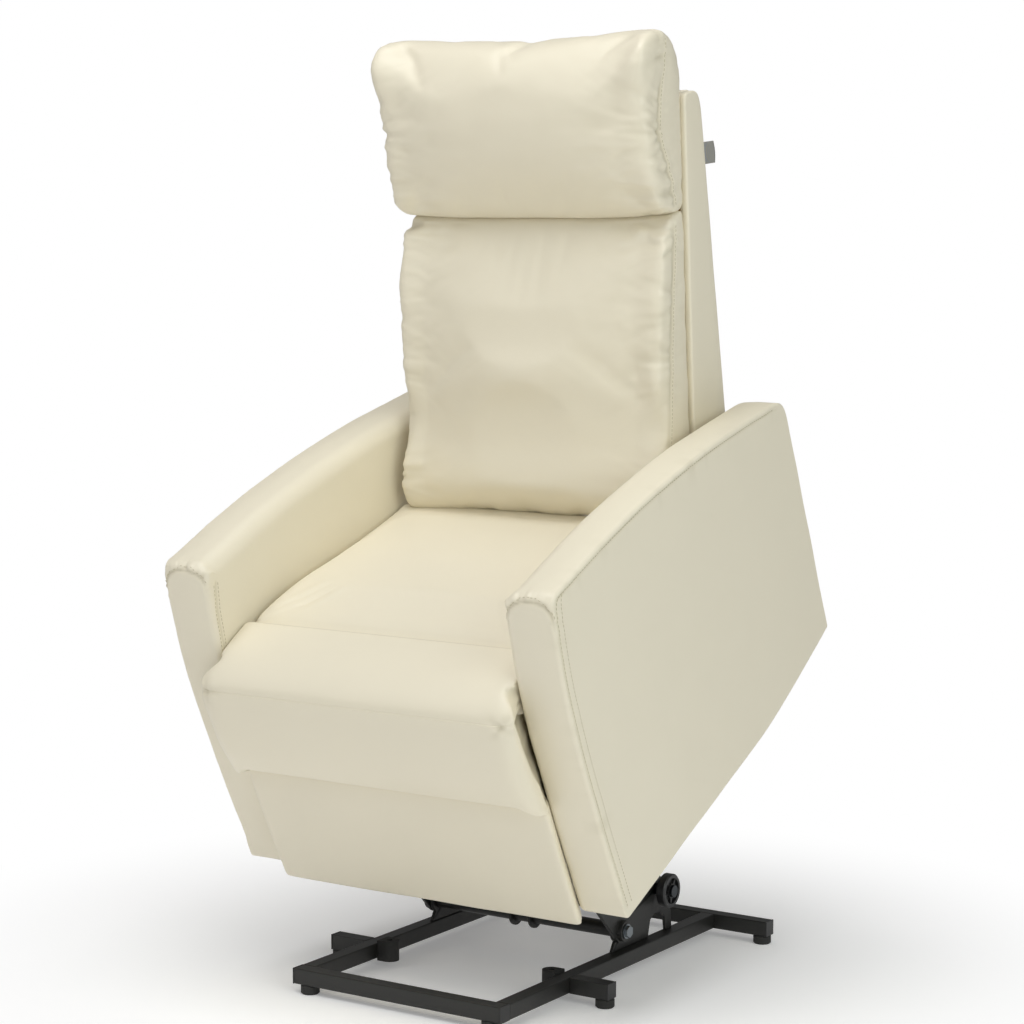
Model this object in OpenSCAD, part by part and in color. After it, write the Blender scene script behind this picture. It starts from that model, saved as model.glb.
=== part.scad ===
// Lift recliner: an upholstered armchair on a steel base that raises and tilts it forward.
// It is drawn raised, and the chair's own shapes are written as they lie with the chair down.

/* [Base frame] */
// Side of the square steel tube of the base
tube = 25; // [20:1:35]
// Wall of the steel tube
tube_wall = 2; // [1.5:0.1:3]
// Height of the feet
foot_h = 14.5; // [10:0.5:30]
// Diameter of the feet
foot_d = 30; // [22:1:40]
// Width over the two side bars
base_w = 390; // [380:1:400]
// Length from the front bar's face to the rear bar's face
base_l = 682; // [670:1:700]
// Width of the rear bar
rear_bar_w = 591; // [540:1:640]
// Width over the tips of the two outriggers
outrigger_w = 530; // [480:1:536]
// Distance from the base's front face to the middle of the outriggers
outrigger_back = 205; // [150:1:240]
// Width of the rest blocks inside the side bars
stop_w = 30; // [20:1:36]
// Height of the rest blocks
stop_h = 33; // [26:1:36]
// Thickness of the plugs in the tube ends
plug_t = 2; // [1:0.5:4]

/* [Lift linkage] */
// How far the chair tips forward when it is raised
lift_tilt = 26.2; // [20:0.1:28]
// Distance from the base's middle forward to the point that the chair turns about
pole_front = 605; // [595:1:615]
// Height of the point that the chair turns about
pole_h = 321; // [315:1:327]
// Place of the lift arm's pivot behind the base's middle
arm_pivot_y = 30; // [20:1:40]
// Height of the lift arm's pivot
arm_pivot_z = 73; // [70:1:78]
// Place of the rear link's pivot behind the base's middle
link_pivot_y = 150; // [140:1:160]
// Height of the rear link's pivot
link_pivot_z = 116; // [112:1:122]
// Distance from the turning point to the lift arm's upper pivot
arm_reach = 440; // [436:1:446]
// Distance from the turning point to the rear link's upper pivot
link_reach = 480; // [474:1:486]
// Thickness of the lift plates and links
lift_t = 6; // [5:0.5:7]
// Distance from the middle to the inner face of the base brackets
lift_plane = 172; // [170.5:0.5:173]
// Gap between a link and the plate beside it
link_gap = 0.4; // [0.3:0.05:0.8]
// Radius of the lift pivot pins
pivot_r = 6; // [5:0.5:7]
// Radius of the shaft through both lift arms
shaft_r = 12; // [10:0.5:14]
// Radial clearance of a pin in its bore
run_gap = 0.05; // [0.02:0.01:0.09]
// Radius of the bracket rollers
wheel_r = 28; // [24:0.5:30]
// Width of the bracket rollers
wheel_w = 16; // [12:0.5:18]

/* [Actuator] */
// Length of the crank on the lift shaft
crank_r = 120; // [110:1:126]
// Angle of the crank above the horizontal when the chair is raised
crank_angle = 74; // [70:1:78]
// Distance from the base's rear face forward to the motor pivot
motor_pivot_in = 51; // [45:1:57]
// Height of the motor pivot
motor_pivot_z = 60; // [58:1:66]
// Radius of the actuator's outer tube
ram_tube_r = 17; // [15:0.5:19]
// Radius of the actuator's rod
ram_rod_r = 10; // [8:0.5:11]
// Radius of the motor can
motor_r = 23; // [20:0.5:24]
// Length of the motor can
motor_l = 92; // [80:1:100]

/* [Arms] */
// Depth of the arms from front to rear
arm_d = 766; // [755:1:775]
// Height of the arms
arm_h = 546; // [540:1:560]
// Thickness of each arm
arm_t = 84; // [70:1:100]
// Clear width between the arms
inside_w = 540; // [537:1:550]
// Distance from the base's middle to the front of the arms with the chair down
arm_front = 350; // [348:1:356]
// Height of the arms' lower edge with the chair down
arm_low = 30; // [28:1:36]
// Roundness of the arms' edges
arm_edge = 16; // [8:1:24]

/* [Seat] */
// Thickness of the wooden rails
rail_t = 20; // [16:1:22]
// Height of the crown of the seat cushion
seat_crown = 6; // [0:0.5:7]
// Roundness of the cushion edges
cushion_edge = 22; // [12:1:30]
// Gap between soft parts
soft_gap = 2; // [1:0.5:4]
// Wire of the zigzag springs
wire = 4; // [3:0.5:5]
// Number of seat springs
seat_springs_n = 5; // [3:1:7]

/* [Legrest] */
// Thickness of the legrest board
board_t = 12; // [9:1:14]
// Thickness of the legrest links
leg_t = 4; // [3:0.5:5]
// Half width of a legrest link
leg_half_w = 11; // [9:0.5:12]
// Length of the long legrest link
leg_link = 252; // [246:1:256]
// Radius of the legrest rivets
rivet_r = 4; // [3:0.25:5]
// Side of the square bar that joins the legrest links
drive_bar = 16; // [12:1:18]

/* [Back] */
// Lean of the back with the chair down
back_lean = 15.5; // [12:0.5:18]
// Height of the back frame above its hinge
back_h = 665; // [640:1:700]
// Distance from the hinge line to the back's rear face
back_d = 138; // [130:1:146]
// Width over the back frame
back_w = 510; // [500:1:524]
// Thickness of the upholstered back panels
panel_t = 14; // [10:1:18]
// Crown of the back cushion at its middle
back_crown = 34; // [10:1:40]
// Crown of the head pillow at its middle
pillow_crown = 24; // [10:1:30]

/* [Hidden] */
$fn = 40;

// A cut runs past the face that it opens by this much
cut = 1;
bar_low = foot_h;
bar_top = foot_h + tube;
half_l = base_l / 2;
outrigger_y = outrigger_back - half_l;
ivory = "#e6dfc8";
black = "#1e1e1c";
zinc = "#b8bbbd";
ply = "#c9a66b";

// The chair turns about this line between its two positions
pole = [-pole_front, pole_h];
function dir(a) = [cos(a), sin(a)];
function unit(v) = v / norm(v);
function angle_of(v) = atan2(v[1], v[0]);
function turned(v, a) = [v[0] * cos(a) - v[1] * sin(a), v[0] * sin(a) + v[1] * cos(a)];
function raised(p) = pole + turned(p - pole, lift_tilt);
function upper_pivot(foot, reach) = pole + reach * dir(angle_of(foot - pole) + lift_tilt / 2);
function at(shares, origin, size) = [
  for (s = shares) [origin[0] + s[0] * size[0], origin[1] + s[1] * size[1]]
];

// Arm outline as shares of the arm's depth and height, from its lower front
arm_shares = [
  [0.007, 0], [0.68, 0], [0.979, 0.06], [1, 0.812], [0.975, 0.852], [0.808, 0.902], [0.641, 0.95],
  [0.33, 1], [0.048, 1], [0.027, 0.9], [0.004, 0.7], [0, 0.41]
];
arm_origin = [-arm_front, arm_low];
arm_size = [arm_d, arm_h];
arm_outline = at(arm_shares, arm_origin, arm_size);
half_in = inside_w / 2;

// Lift linkage, raised: feet on the base brackets and upper pivots on the chair
arm_foot = [arm_pivot_y, arm_pivot_z];
link_foot = [link_pivot_y, link_pivot_z];
arm_head = upper_pivot(arm_foot, arm_reach);
link_head = upper_pivot(link_foot, link_reach);
arm_head_low = pole + turned(arm_head - pole, -lift_tilt);
link_head_low = pole + turned(link_head - pole, -lift_tilt);
arm_boss_r = 20;
boss_wall = 5;
arm_head_r = 12;
link_half_w = 14;
bracket_top_r = 23;
arm_x = lift_plane + lift_t + link_gap;
link_x = lift_plane - link_gap - lift_t;
chair_plate_x = arm_x + lift_t + link_gap;
boss_l = 7.6;
bolt_head_r = 10;
bolt_head_l = 7;
wheel_x = 192;
axle_r = 6;
open_pin_play = 4;
crank_head = arm_foot + crank_r * dir(crank_angle);
motor_foot = [half_l - motor_pivot_in, motor_pivot_z];
ram_angle = angle_of(crank_head - motor_foot);
ram_l = norm(crank_head - motor_foot);
crank_x = 16;
crank_t = 5;
crank_pin_r = 5;
crank_head_r = 13;
clevis_x = 20;
clevis_t = 5;
housing_r = 26;
eye_half_w = 12;
ram_shown = 64.7;
ram_tube_end = ram_l - ram_shown;
ram_tube_start = 48;
rod_back_gap = 38.0074;
rod_hidden_l = ram_tube_end - ram_tube_start - rod_back_gap;

// Seat and legrest, with the chair down
seat_d = 438;
crease_y = -266;
spring_rear_z = 298;
rest_gap = 0.3;
front_rail_low = 334;
front_rail_d = 58;
rail_low = 215;
cross_tube_low = 222;
cross_front_y = -100;
cross_rear_y = 100;
rear_rail_in = 22;
rear_rail_y = crease_y + seat_d - rear_rail_in;
side_rail_front = -330;
spring_ends = [
  [side_rail_front + front_rail_d, front_rail_low + rail_t], [rear_rail_y - rail_t, spring_rear_z]
];
// Height of the springs' top at the place y
function deck(y) = spring_ends[0][1] + (y - spring_ends[0][0]) * (spring_ends[1][1] - spring_ends[0][1])
  / (spring_ends[1][0] - spring_ends[0][0]);
plate_x = half_in - rail_t - leg_t;
leg_x1 = plate_x - link_gap - leg_t;
leg_x2 = leg_x1 - link_gap - leg_t;
leg_x3 = leg_x2 - link_gap - leg_t;
// Legrest pivots as shares of the long link, from that link's pivot on the side plate
long_pivot_y = -190.8;
long_pivot_z = 315.7;
long_pivot = [long_pivot_y, long_pivot_z];
front_pivot_share = [-0.169, 0.056];
lower_knee_share = [0.252, -0.968];
front_knee_share = [0.09, -0.907];
upper_knee_share = [0.229, -0.694];
lower_board_share = [-0.505, -0.504];
upper_board_share = [-0.521, -0.227];
front_pivot = long_pivot + leg_link * front_pivot_share;
lower_knee = long_pivot + leg_link * lower_knee_share;
front_knee = long_pivot + leg_link * front_knee_share;
upper_knee = long_pivot + leg_link * upper_knee_share;
lower_board = long_pivot + leg_link * lower_board_share;
upper_board = long_pivot + leg_link * upper_board_share;
board_back = -334;
board_front = board_back - board_t;
board_low = 60;
board_top = 384;
leg_side_gap = 3;
leg_half_span = half_in - leg_side_gap;
rivet_head = 2;
rivet_lip = 3;
open_rivet_play = 0.9;

// Back, from its hinge: forward and back first, then up along the lean
hinge_back = 53;
hinge_z = 372;
hinge = [crease_y + seat_d + hinge_back, hinge_z];
back_size = [back_d, back_h];
half_back = back_w / 2;
stile_x = 241;
stile_t = 25;

module both() {
  children();
  mirror([1, 0, 0]) children();
}
module placed() translate([0, row_y, 0]) children();
module chair() placed() translate([0, pole[0], pole[1]]) rotate([lift_tilt, 0, 0])
  translate([0, -pole[0], -pole[1]]) children();
module back() chair() translate([0, hinge[0], hinge[1]]) rotate([-back_lean, 0, 0]) children();
// Draws an outline of the side view and gives it the thickness t, from x on
module slab(x, t) translate([x, 0, 0]) rotate([90, 0, 90]) linear_extrude(t) children();
// A pin or bore along the width, through the point p of the side view
module across(p, r, x, l) translate([x, p[0], p[1]]) rotate([0, 90, 0]) cylinder(h = l, r = r);

// Corners of a bar's straight part, where its sides touch two circles
function tangent_quad(a, ra, b, rb) = let (
    d = norm(b - a), f = angle_of(b - a), g = acos((ra - rb) / d)
  ) [a + ra * dir(f + g), b + rb * dir(f + g), b + rb * dir(f - g), a + ra * dir(f - g)];
// A bar with two round ends, whose straight sides lie a little inside the circles and so cut them cleanly
side_in = 0.03;
module bar(a, ra, b, rb, x, t) {
  across(a, ra, x, t);
  across(b, rb, x, t);
  slab(x, t) polygon(tangent_quad(a, ra - side_in, b, rb - side_in));
}
// A rivet through the link beside the face x, with its head on the link's far side, inward or outward
module rivet_in(p, x) {
  across(p, rivet_r, x - leg_t - 2 * link_gap - rivet_head, leg_t + 2 * link_gap + rivet_head);
  across(p, rivet_r + rivet_lip, x - leg_t - 2 * link_gap - rivet_head, rivet_head);
}
module rivet_out(p, x) {
  across(p, rivet_r, x, leg_t + 2 * link_gap + rivet_head);
  across(p, rivet_r + rivet_lip, x + leg_t + 2 * link_gap, rivet_head);
}
module tube_x(l) difference() {
  cube([l, tube, tube]);
  translate([-cut, tube_wall, tube_wall]) cube([l + 2 * cut, tube - 2 * tube_wall, tube - 2 * tube_wall]);
}

// Rounds each corner of a closed outline, starting the curve r before the corner
function eased(p, r, n = 3) = [
  for (i = [0 : len(p) - 1]) let (
    a = p[(i + len(p) - 1) % len(p)], b = p[i], c = p[(i + 1) % len(p)],
    s = b + unit(a - b) * min(r, norm(a - b) / 2), e = b + unit(c - b) * min(r, norm(c - b) / 2)
  ) for (k = [0 : n]) let (t = k / n) (1 - t) * (1 - t) * s + 2 * t * (1 - t) * b + t * t * e
];
// Stations along the width: place, how far the outline is drawn in, and how much crown it has
function stations(hw, edge, depth, n = 3, m = 4) = concat(
  [for (i = [n : -1 : 0]) let (a = 90 * i / n) [-hw + edge * (1 - sin(a)), depth * (1 - cos(a)), 0]],
  [for (j = [1 : m - 1]) let (x = (hw - edge) * (2 * j / m - 1)) [x, 0, 1 - pow(x / hw, 2)]],
  [for (i = [0 : n]) let (a = 90 * i / n) [hw - edge * (1 - sin(a)), depth * (1 - cos(a)), 0]]
);
// A padded body: the outline is drawn in at both ends and swells by crown on the side it faces
module padded(outline, middle, hw, edge, depth, crown = 0, facing = [0, 1]) {
  st = stations(hw, edge, depth);
  n = len(outline);
  rings = [for (s = st) for (p = outline) let (
      d = unit(p - middle),
      q = p - d * min(s[1], norm(p - middle) / 2) + facing * crown * s[2] * max(0, d * facing)
    ) [s[0], q[0], q[1]]];
  points = concat(rings, [[-hw, middle[0], middle[1]], [hw, middle[0], middle[1]]]);
  last = (len(st) - 1) * n;
  faces = concat(
    [for (k = [0 : len(st) - 2]) for (i = [0 : n - 1]) let (j = (i + 1) % n)
      each [[k * n + i, (k + 1) * n + i, (k + 1) * n + j], [k * n + i, (k + 1) * n + j, k * n + j]]],
    [for (i = [0 : n - 1]) [len(points) - 2, i, (i + 1) % n]],
    [for (i = [0 : n - 1]) [len(points) - 1, last + (i + 1) % n, last + i]]
  );
  polyhedron(points = points, faces = faces, convexity = 6);
}
// Zigzag spring wire lying flat, from x = 0 to l, as a band of width w
zigzag_n = 12;
bend_share = 0.3;
function zigzag(l, half, n) = [for (k = [0 : n]) each [
    [l * max(0, k - bend_share) / n, (k % 2 == 0 ? 1 : -1) * half],
    [l * min(n, k + bend_share) / n, (k % 2 == 0 ? 1 : -1) * half]
  ]];
function side_step(p, i) = let (d = unit(p[min(i + 1, len(p) - 1)] - p[max(i - 1, 0)])) [-d[1], d[0]];
function band(p, w) = concat(
  [for (i = [0 : len(p) - 1]) p[i] + side_step(p, i) * w / 2],
  [for (i = [len(p) - 1 : -1 : 0]) p[i] - side_step(p, i) * w / 2]
);

// Base frame
module base_front_bar() color(black) placed() translate([-base_w / 2 + plug_t, -half_l, bar_low])
  tube_x(base_w - 2 * plug_t);
module base_rear_bar() color(black) placed() translate([-rear_bar_w / 2 + plug_t, half_l - tube, bar_low])
  tube_x(rear_bar_w - 2 * plug_t);
module side_bar() color(black) placed() translate([base_w / 2, -half_l + tube, bar_low]) rotate([0, 0, 90])
  tube_x(base_l - 2 * tube);
module base_side_bar_right() side_bar();
module base_side_bar_left() mirror([1, 0, 0]) side_bar();
module base_outriggers() color(black) placed() both()
  translate([base_w / 2, outrigger_y - tube / 2, bar_low]) tube_x((outrigger_w - base_w) / 2 - plug_t);
module plug() {
  cube([plug_t, tube, tube]);
  translate([-tube / 2, tube_wall, tube_wall]) cube([tube / 2, tube - 2 * tube_wall, tube - 2 * tube_wall]);
}
module base_end_plugs() color(black) placed() both() {
  translate([base_w / 2 - plug_t, -half_l, bar_low]) plug();
  translate([rear_bar_w / 2 - plug_t, half_l - tube, bar_low]) plug();
  translate([outrigger_w / 2 - plug_t, outrigger_y - tube / 2, bar_low]) plug();
}
foot_lip = 2;
module foot() rotate_extrude() polygon([
  [0, 0], [foot_d / 2 - foot_lip, 0], [foot_d / 2, foot_lip], [foot_d / 2, foot_h - foot_lip],
  [foot_d / 2 - foot_lip, foot_h], [0, foot_h]
]);
module base_feet() color("#161616") placed() both() {
  translate([base_w / 2 - tube, -half_l + tube / 2, 0]) foot();
  translate([outrigger_w / 2 - tube / 2, outrigger_y, 0]) foot();
  translate([rear_bar_w / 2 - tube / 2 - plug_t, half_l - tube / 2, 0]) foot();
}
// Rubber rest blocks for the lift arms, hooked over the inner side of the side bars
stop_lip = 4.5;
module rest_blocks() color("#2a2a28") placed() both() difference() {
  translate([base_w / 2 - tube - stop_w, outrigger_y, bar_top + stop_lip - stop_h]) {
    translate([stop_w / 2, 0, 0]) cylinder(h = stop_h, r = stop_w / 2);
    translate([stop_w / 2, -stop_w / 2, 0]) cube([stop_w / 2, stop_w, stop_h]);
  }
  translate([base_w / 2 - tube - stop_w / 2, outrigger_y, bar_top - stop_lip])
    cylinder(h = 2 * stop_lip + cut, r = stop_w / 6);
}

// Bracket with an arch between its two feet, a boss for the lift arm and a head for the roller
bracket_shares = [[-0.17, 0], [0.78, 0], [0.84, 0.36], [0.96, 0.47], [1.16, 0.44], [1.24, 0.3], [1.27, 0],
  [1.43, 0], [1.4, 0.4], [1.3, 0.7]];
module base_bracket() color(black) placed() difference() {
  span = link_foot[0] - arm_foot[0];
  rise = link_foot[1] - bar_top;
  union() {
    bar(arm_foot, arm_boss_r, link_foot, bracket_top_r, lift_plane, lift_t);
    slab(lift_plane, lift_t) polygon(concat(
      at(bracket_shares, [arm_foot[0], bar_top], [span, rise]),
      [[link_foot[0] + bracket_top_r, link_foot[1]], link_foot, arm_foot]
    ));
  }
  across(arm_foot, shaft_r + run_gap, lift_plane - cut, lift_t + 2 * cut);
  across(link_foot, axle_r, lift_plane - cut, lift_t + 2 * cut);
}
module base_bracket_right() base_bracket();
module base_bracket_left() mirror([1, 0, 0]) base_bracket();
// Bolts that carry the rear links inside the brackets and the rollers outside them
bolt_rim = 4;
module bracket_bolts() color(zinc) placed() both() {
  across(link_foot, axle_r, link_x - link_gap, wheel_x + wheel_w + 2 * link_gap - link_x);
  across(link_foot, axle_r + bolt_rim, link_x - link_gap - bolt_rim, bolt_rim);
  across(link_foot, axle_r + bolt_rim, wheel_x + wheel_w + link_gap, bolt_rim);
  across(link_foot, axle_r + bolt_rim, lift_plane + lift_t, wheel_x - link_gap - lift_plane - lift_t);
}
// Roller with a dished side, a hub and spokes
tyre_t = 7;
hub_r = 12;
web_t = 5;
spokes_n = 5;
module roller() color("#1b1b1d") placed()
  translate([wheel_x, link_foot[0], link_foot[1]]) rotate([0, 90, 0])
  difference() {
    union() {
      rotate_extrude() polygon([
        [axle_r + run_gap, 0], [hub_r, 0], [hub_r, (wheel_w - web_t) / 2],
        [wheel_r - tyre_t, (wheel_w - web_t) / 2],
        [wheel_r - tyre_t, 0], [wheel_r - foot_lip, 0], [wheel_r, foot_lip], [wheel_r, wheel_w - foot_lip],
        [wheel_r - foot_lip, wheel_w], [wheel_r - tyre_t, wheel_w],
        [wheel_r - tyre_t, (wheel_w + web_t) / 2],
        [hub_r, (wheel_w + web_t) / 2], [hub_r, wheel_w], [axle_r + run_gap, wheel_w]
      ]);
      for (k = [0 : spokes_n - 1]) rotate([0, 0, 360 * k / spokes_n])
        translate([hub_r - foot_lip, -foot_lip, foot_lip]) cube([wheel_r - tyre_t - hub_r + 2 * foot_lip,
          2 * foot_lip, wheel_w - 2 * foot_lip]);
    }
  }
module bracket_roller_right() roller();
module bracket_roller_left() mirror([1, 0, 0]) roller();

// Ears on the rear bar that carry the motor end of the actuator
module motor_clevis() color(black) placed() both() difference() {
  union() {
    bar(motor_foot, eye_half_w, [half_l - tube / 2, bar_top + eye_half_w], eye_half_w, clevis_x, clevis_t);
    slab(clevis_x, clevis_t) translate([half_l - tube, bar_top]) square([tube, eye_half_w]);
  }
  across(motor_foot, crank_pin_r, clevis_x - cut, clevis_t + 2 * cut);
}
module pin_with_heads(p, r, half) {
  across(p, r, -half, 2 * half);
  across(p, r + bolt_rim, half, bolt_rim / 2);
  across(p, r + bolt_rim, -half - bolt_rim / 2, bolt_rim / 2);
}
module motor_clevis_pin() color(zinc) placed() pin_with_heads(motor_foot, crank_pin_r, clevis_x + clevis_t);

// Lift arms on one shaft, with the crank that the actuator pulls
module lift_arm() color("#242422") placed() difference() {
  union() {
    bar(arm_foot, arm_boss_r, arm_head, arm_head_r, arm_x, lift_t);
    across(arm_foot, shaft_r + boss_wall, arm_x, lift_t + boss_l);
  }
  across(arm_foot, shaft_r, arm_x - cut, lift_t + boss_l + 2 * cut);
  across(arm_head, pivot_r + run_gap, arm_x - cut, lift_t + 2 * cut);
}
module lift_arm_right() lift_arm();
module lift_arm_left() mirror([1, 0, 0]) lift_arm();
shaft_end = arm_x + lift_t + boss_l;
module lift_shaft() color("#3a3a38") placed() across(arm_foot, shaft_r, -shaft_end, 2 * shaft_end);
module shaft_bolts() color("#d5d8da") placed() both() {
  across(arm_foot, bolt_head_r + foot_lip, shaft_end, foot_lip);
  translate([shaft_end + foot_lip, arm_foot[0], arm_foot[1]]) rotate([0, 90, 0])
    cylinder(h = bolt_head_l - foot_lip, r = bolt_head_r, $fn = 6);
}
module lift_crank() color(black) placed() difference() {
  both() bar(arm_foot, arm_boss_r, crank_head, crank_head_r, crank_x, crank_t);
  across(arm_foot, shaft_r, -crank_x - crank_t - cut, 2 * (crank_x + crank_t + cut));
  across(crank_head, crank_pin_r, -crank_x - crank_t - cut, 2 * (crank_x + crank_t + cut));
}
module crank_pin() color(zinc) placed() pin_with_heads(crank_head, crank_pin_r, crank_x + crank_t);

// Rear links: each carries its own upper pin, which stands in a wide hole of the chair's plate
module rear_link() color("#242422") placed() difference() {
  bar(link_foot, link_half_w, link_head, link_half_w, link_x, lift_t);
  across(link_foot, axle_r + run_gap, link_x - cut, lift_t + 2 * cut);
  across(link_head, pivot_r, link_x - cut, lift_t + 2 * cut);
}
module rear_link_right() rear_link();
module rear_link_left() mirror([1, 0, 0]) rear_link();
module rear_link_pins() color(zinc) placed() both()
  across(link_head, pivot_r, link_x, chair_plate_x + lift_t + bolt_rim - link_x);

// Actuator between the rear bar and the crank
module along_ram() placed() translate([0, motor_foot[0], motor_foot[1]]) rotate([ram_angle, 0, 0])
  rotate([-90, 0, 0]) children();
module actuator_housing() color("#2b2b2d") along_ram() difference() {
  union() {
    rotate([0, 90, 0]) cylinder(h = 2 * (clevis_x - link_gap), r = eye_half_w, center = true);
    translate([-eye_half_w, -eye_half_w, 0]) cube([2 * eye_half_w, 2 * eye_half_w, ram_tube_start]);
    translate([0, 0, eye_half_w + foot_lip])
      cylinder(h = ram_tube_start - eye_half_w - foot_lip, r = housing_r);
    translate([0, 0, (ram_tube_start + eye_half_w) / 2 + foot_lip]) rotate([0, 90, 0])
      cylinder(h = housing_r + bolt_rim, r = (ram_tube_start - eye_half_w) / 2 - foot_lip);
  }
  rotate([0, 90, 0]) cylinder(h = 2 * clevis_x + 2 * cut, r = crank_pin_r + run_gap, center = true);
  translate([0, 0, ram_tube_start - bolt_rim]) cylinder(h = bolt_rim + cut, r = ram_tube_r);
}
module actuator_motor() color("#3d3f42") along_ram()
  translate([housing_r + bolt_rim, 0, (ram_tube_start + eye_half_w) / 2 + foot_lip]) rotate([0, 90, 0]) {
    cylinder(h = motor_l, r = motor_r);
    translate([0, 0, motor_l]) cylinder(h = bolt_rim, r = motor_r - bolt_rim);
  }
module actuator_tube() color("#55585c") along_ram() difference() {
  union() {
    translate([0, 0, ram_tube_start - bolt_rim])
      cylinder(h = ram_tube_end - ram_tube_start + bolt_rim, r = ram_tube_r);
    translate([0, 0, ram_tube_end - 2 * bolt_rim]) cylinder(h = 2 * bolt_rim, r = ram_tube_r + foot_lip);
  }
  translate([0, 0, ram_tube_start]) cylinder(h = ram_tube_end, r = ram_rod_r + run_gap);
}
// The rod's eye is wide, because the crank's pin swings a little off the rod's line on its way
eye_play = 6;
eye_r = 16;
module actuator_rod() color("#c4c7ca") along_ram() difference() {
  union() {
    translate([0, 0, ram_tube_end - rod_hidden_l])
      cylinder(h = ram_l - ram_tube_end + rod_hidden_l - eye_half_w, r = ram_rod_r);
    translate([0, 0, ram_l]) rotate([0, 90, 0])
      cylinder(h = 2 * (crank_x - link_gap - foot_lip), r = eye_r, center = true);
  }
  translate([0, 0, ram_l]) rotate([0, 90, 0])
    cylinder(h = 2 * crank_x, r = crank_pin_r + eye_play, center = true);
}

// Chair frame
module seat_side_rails() color(ply) chair() both() slab(half_in - rail_t, rail_t) polygon([
  [side_rail_front, rail_low], [rear_rail_y, rail_low], [rear_rail_y, spring_rear_z], spring_ends[1],
  [spring_ends[0][0], front_rail_low], [side_rail_front, front_rail_low]
]);
module seat_front_rail() color(ply) chair() translate([-half_in, side_rail_front, front_rail_low])
  cube([inside_w, front_rail_d, rail_t]);
module seat_rear_rail() color(ply) chair()
  translate([-half_in + rail_t + leg_t, rear_rail_y - rail_t, rail_low + rail_t])
  cube([inside_w - 2 * rail_t - 2 * leg_t, rail_t, spring_rear_z - rail_low - rail_t]);
module seat_cross_tubes() color("#2d2d2b") chair() for (y = [cross_front_y, cross_rear_y])
  translate([-plate_x, y - tube / 2, cross_tube_low]) tube_x(2 * plate_x);
module seat_springs() color("#8d9196") chair() {
  way = spring_ends[1] - spring_ends[0];
  pitch = inside_w / (seat_springs_n + 1);
  for (k = [1 : seat_springs_n]) translate([-half_in + k * pitch, spring_ends[0][0], spring_ends[0][1]])
    rotate([angle_of(way), 0, 0]) translate([0, 0, -wire]) rotate([0, 0, 90]) linear_extrude(wire)
      polygon(band(zigzag(norm(way), pitch / 4, zigzag_n), wire));
}
// Plates under the seat that the lift arms push and the rear links steady
module lift_plate() color(black) chair() difference() {
  union() {
    bar(arm_head_low, arm_boss_r - foot_lip, link_head_low, arm_boss_r + foot_lip, chair_plate_x, lift_t);
    slab(chair_plate_x, lift_t) polygon([
      arm_head_low, link_head_low + [0, -arm_boss_r], [cross_rear_y + tube / 2, cross_tube_low - tube],
      [cross_rear_y + tube / 2, cross_tube_low], [cross_front_y - tube / 2, cross_tube_low],
      arm_head_low + [-arm_boss_r + foot_lip, 0]
    ]);
  }
  across(arm_head_low, pivot_r, chair_plate_x - cut, lift_t + 2 * cut);
  across(link_head_low, pivot_r + open_pin_play, chair_plate_x - cut, lift_t + 2 * cut);
}
module lift_plate_right() lift_plate();
module lift_plate_left() mirror([1, 0, 0]) lift_plate();
module lift_pins() color(zinc) chair() both() {
  across(arm_head_low, pivot_r, arm_x - link_gap, chair_plate_x + lift_t - arm_x + link_gap);
  across(arm_head_low, pivot_r + bolt_rim, arm_x - link_gap - bolt_rim, bolt_rim);
  across(arm_head_low, pivot_r + bolt_rim, chair_plate_x + lift_t, bolt_rim);
}
// Steel side plates with the legrest's pivots in front and the back's hinge at the rear
side_boss_r = 15;
plate_low = 236;
plate_top = 292;
module side_plate() color("#30302e") chair() difference() {
  union() {
    bar(front_pivot, side_boss_r, long_pivot, side_boss_r, plate_x, leg_t);
    bar([rear_rail_y, plate_low + side_boss_r], side_boss_r, hinge, side_boss_r + foot_lip, plate_x, leg_t);
    slab(plate_x, leg_t) polygon([
      [front_pivot[0], plate_low], [rear_rail_y, plate_low],
      [rear_rail_y + side_boss_r, plate_low + side_boss_r],
      [rear_rail_y, plate_top], long_pivot, front_pivot, front_pivot - [side_boss_r, 0]
    ]);
    rivet_in(front_pivot, plate_x);
    rivet_in(long_pivot, plate_x);
  }
  across(hinge, pivot_r + run_gap, plate_x - cut, leg_t + 2 * cut);
}
module side_plate_right() side_plate();
module side_plate_left() mirror([1, 0, 0]) side_plate();

// Arms
arm_middle_share = [0.48, 0.48];
arm_ease_n = 2;
arm_draw_share = 0.7;
arm_middle = at([arm_middle_share], arm_origin, arm_size)[0];
module arm() color(ivory) chair() translate([half_in + arm_t / 2, 0, 0]) padded(
  eased(arm_outline, arm_edge, arm_ease_n), arm_middle, arm_t / 2, arm_edge, arm_edge * arm_draw_share);
module arm_right() arm();
module arm_left() mirror([1, 0, 0]) arm();

// Seat cushion and the padded roll in front of it
draw_share = 0.5;
seat_shares = [[1.005, 0.38], [0.95, 0.45], [0.5, 0.78], [0.2, 0.96], [0.03, 0.96], [0, 0.8]];
seat_h = 100;
seat_base_z = 354;
seat_back_y = rear_rail_y - rest_gap;
seat_outline = concat(
  [[crease_y, deck(crease_y) + rest_gap], spring_ends[1] + [0, rest_gap]],
  [[seat_back_y, spring_rear_z + rest_gap]],
  at(seat_shares, [crease_y, seat_base_z], [seat_d, seat_h])
);
seat_middle_share = [0.5, 0.35];
seat_middle = at([seat_middle_share], [crease_y, seat_base_z], [seat_d, seat_h])[0];
module seat_cushion() color(ivory) chair() padded(eased(seat_outline, cushion_edge), seat_middle,
  half_in - soft_gap, cushion_edge, cushion_edge * draw_share, seat_crown);
roll_d = 126;
roll_h = 96;
roll_edge = cushion_edge * draw_share;
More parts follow.
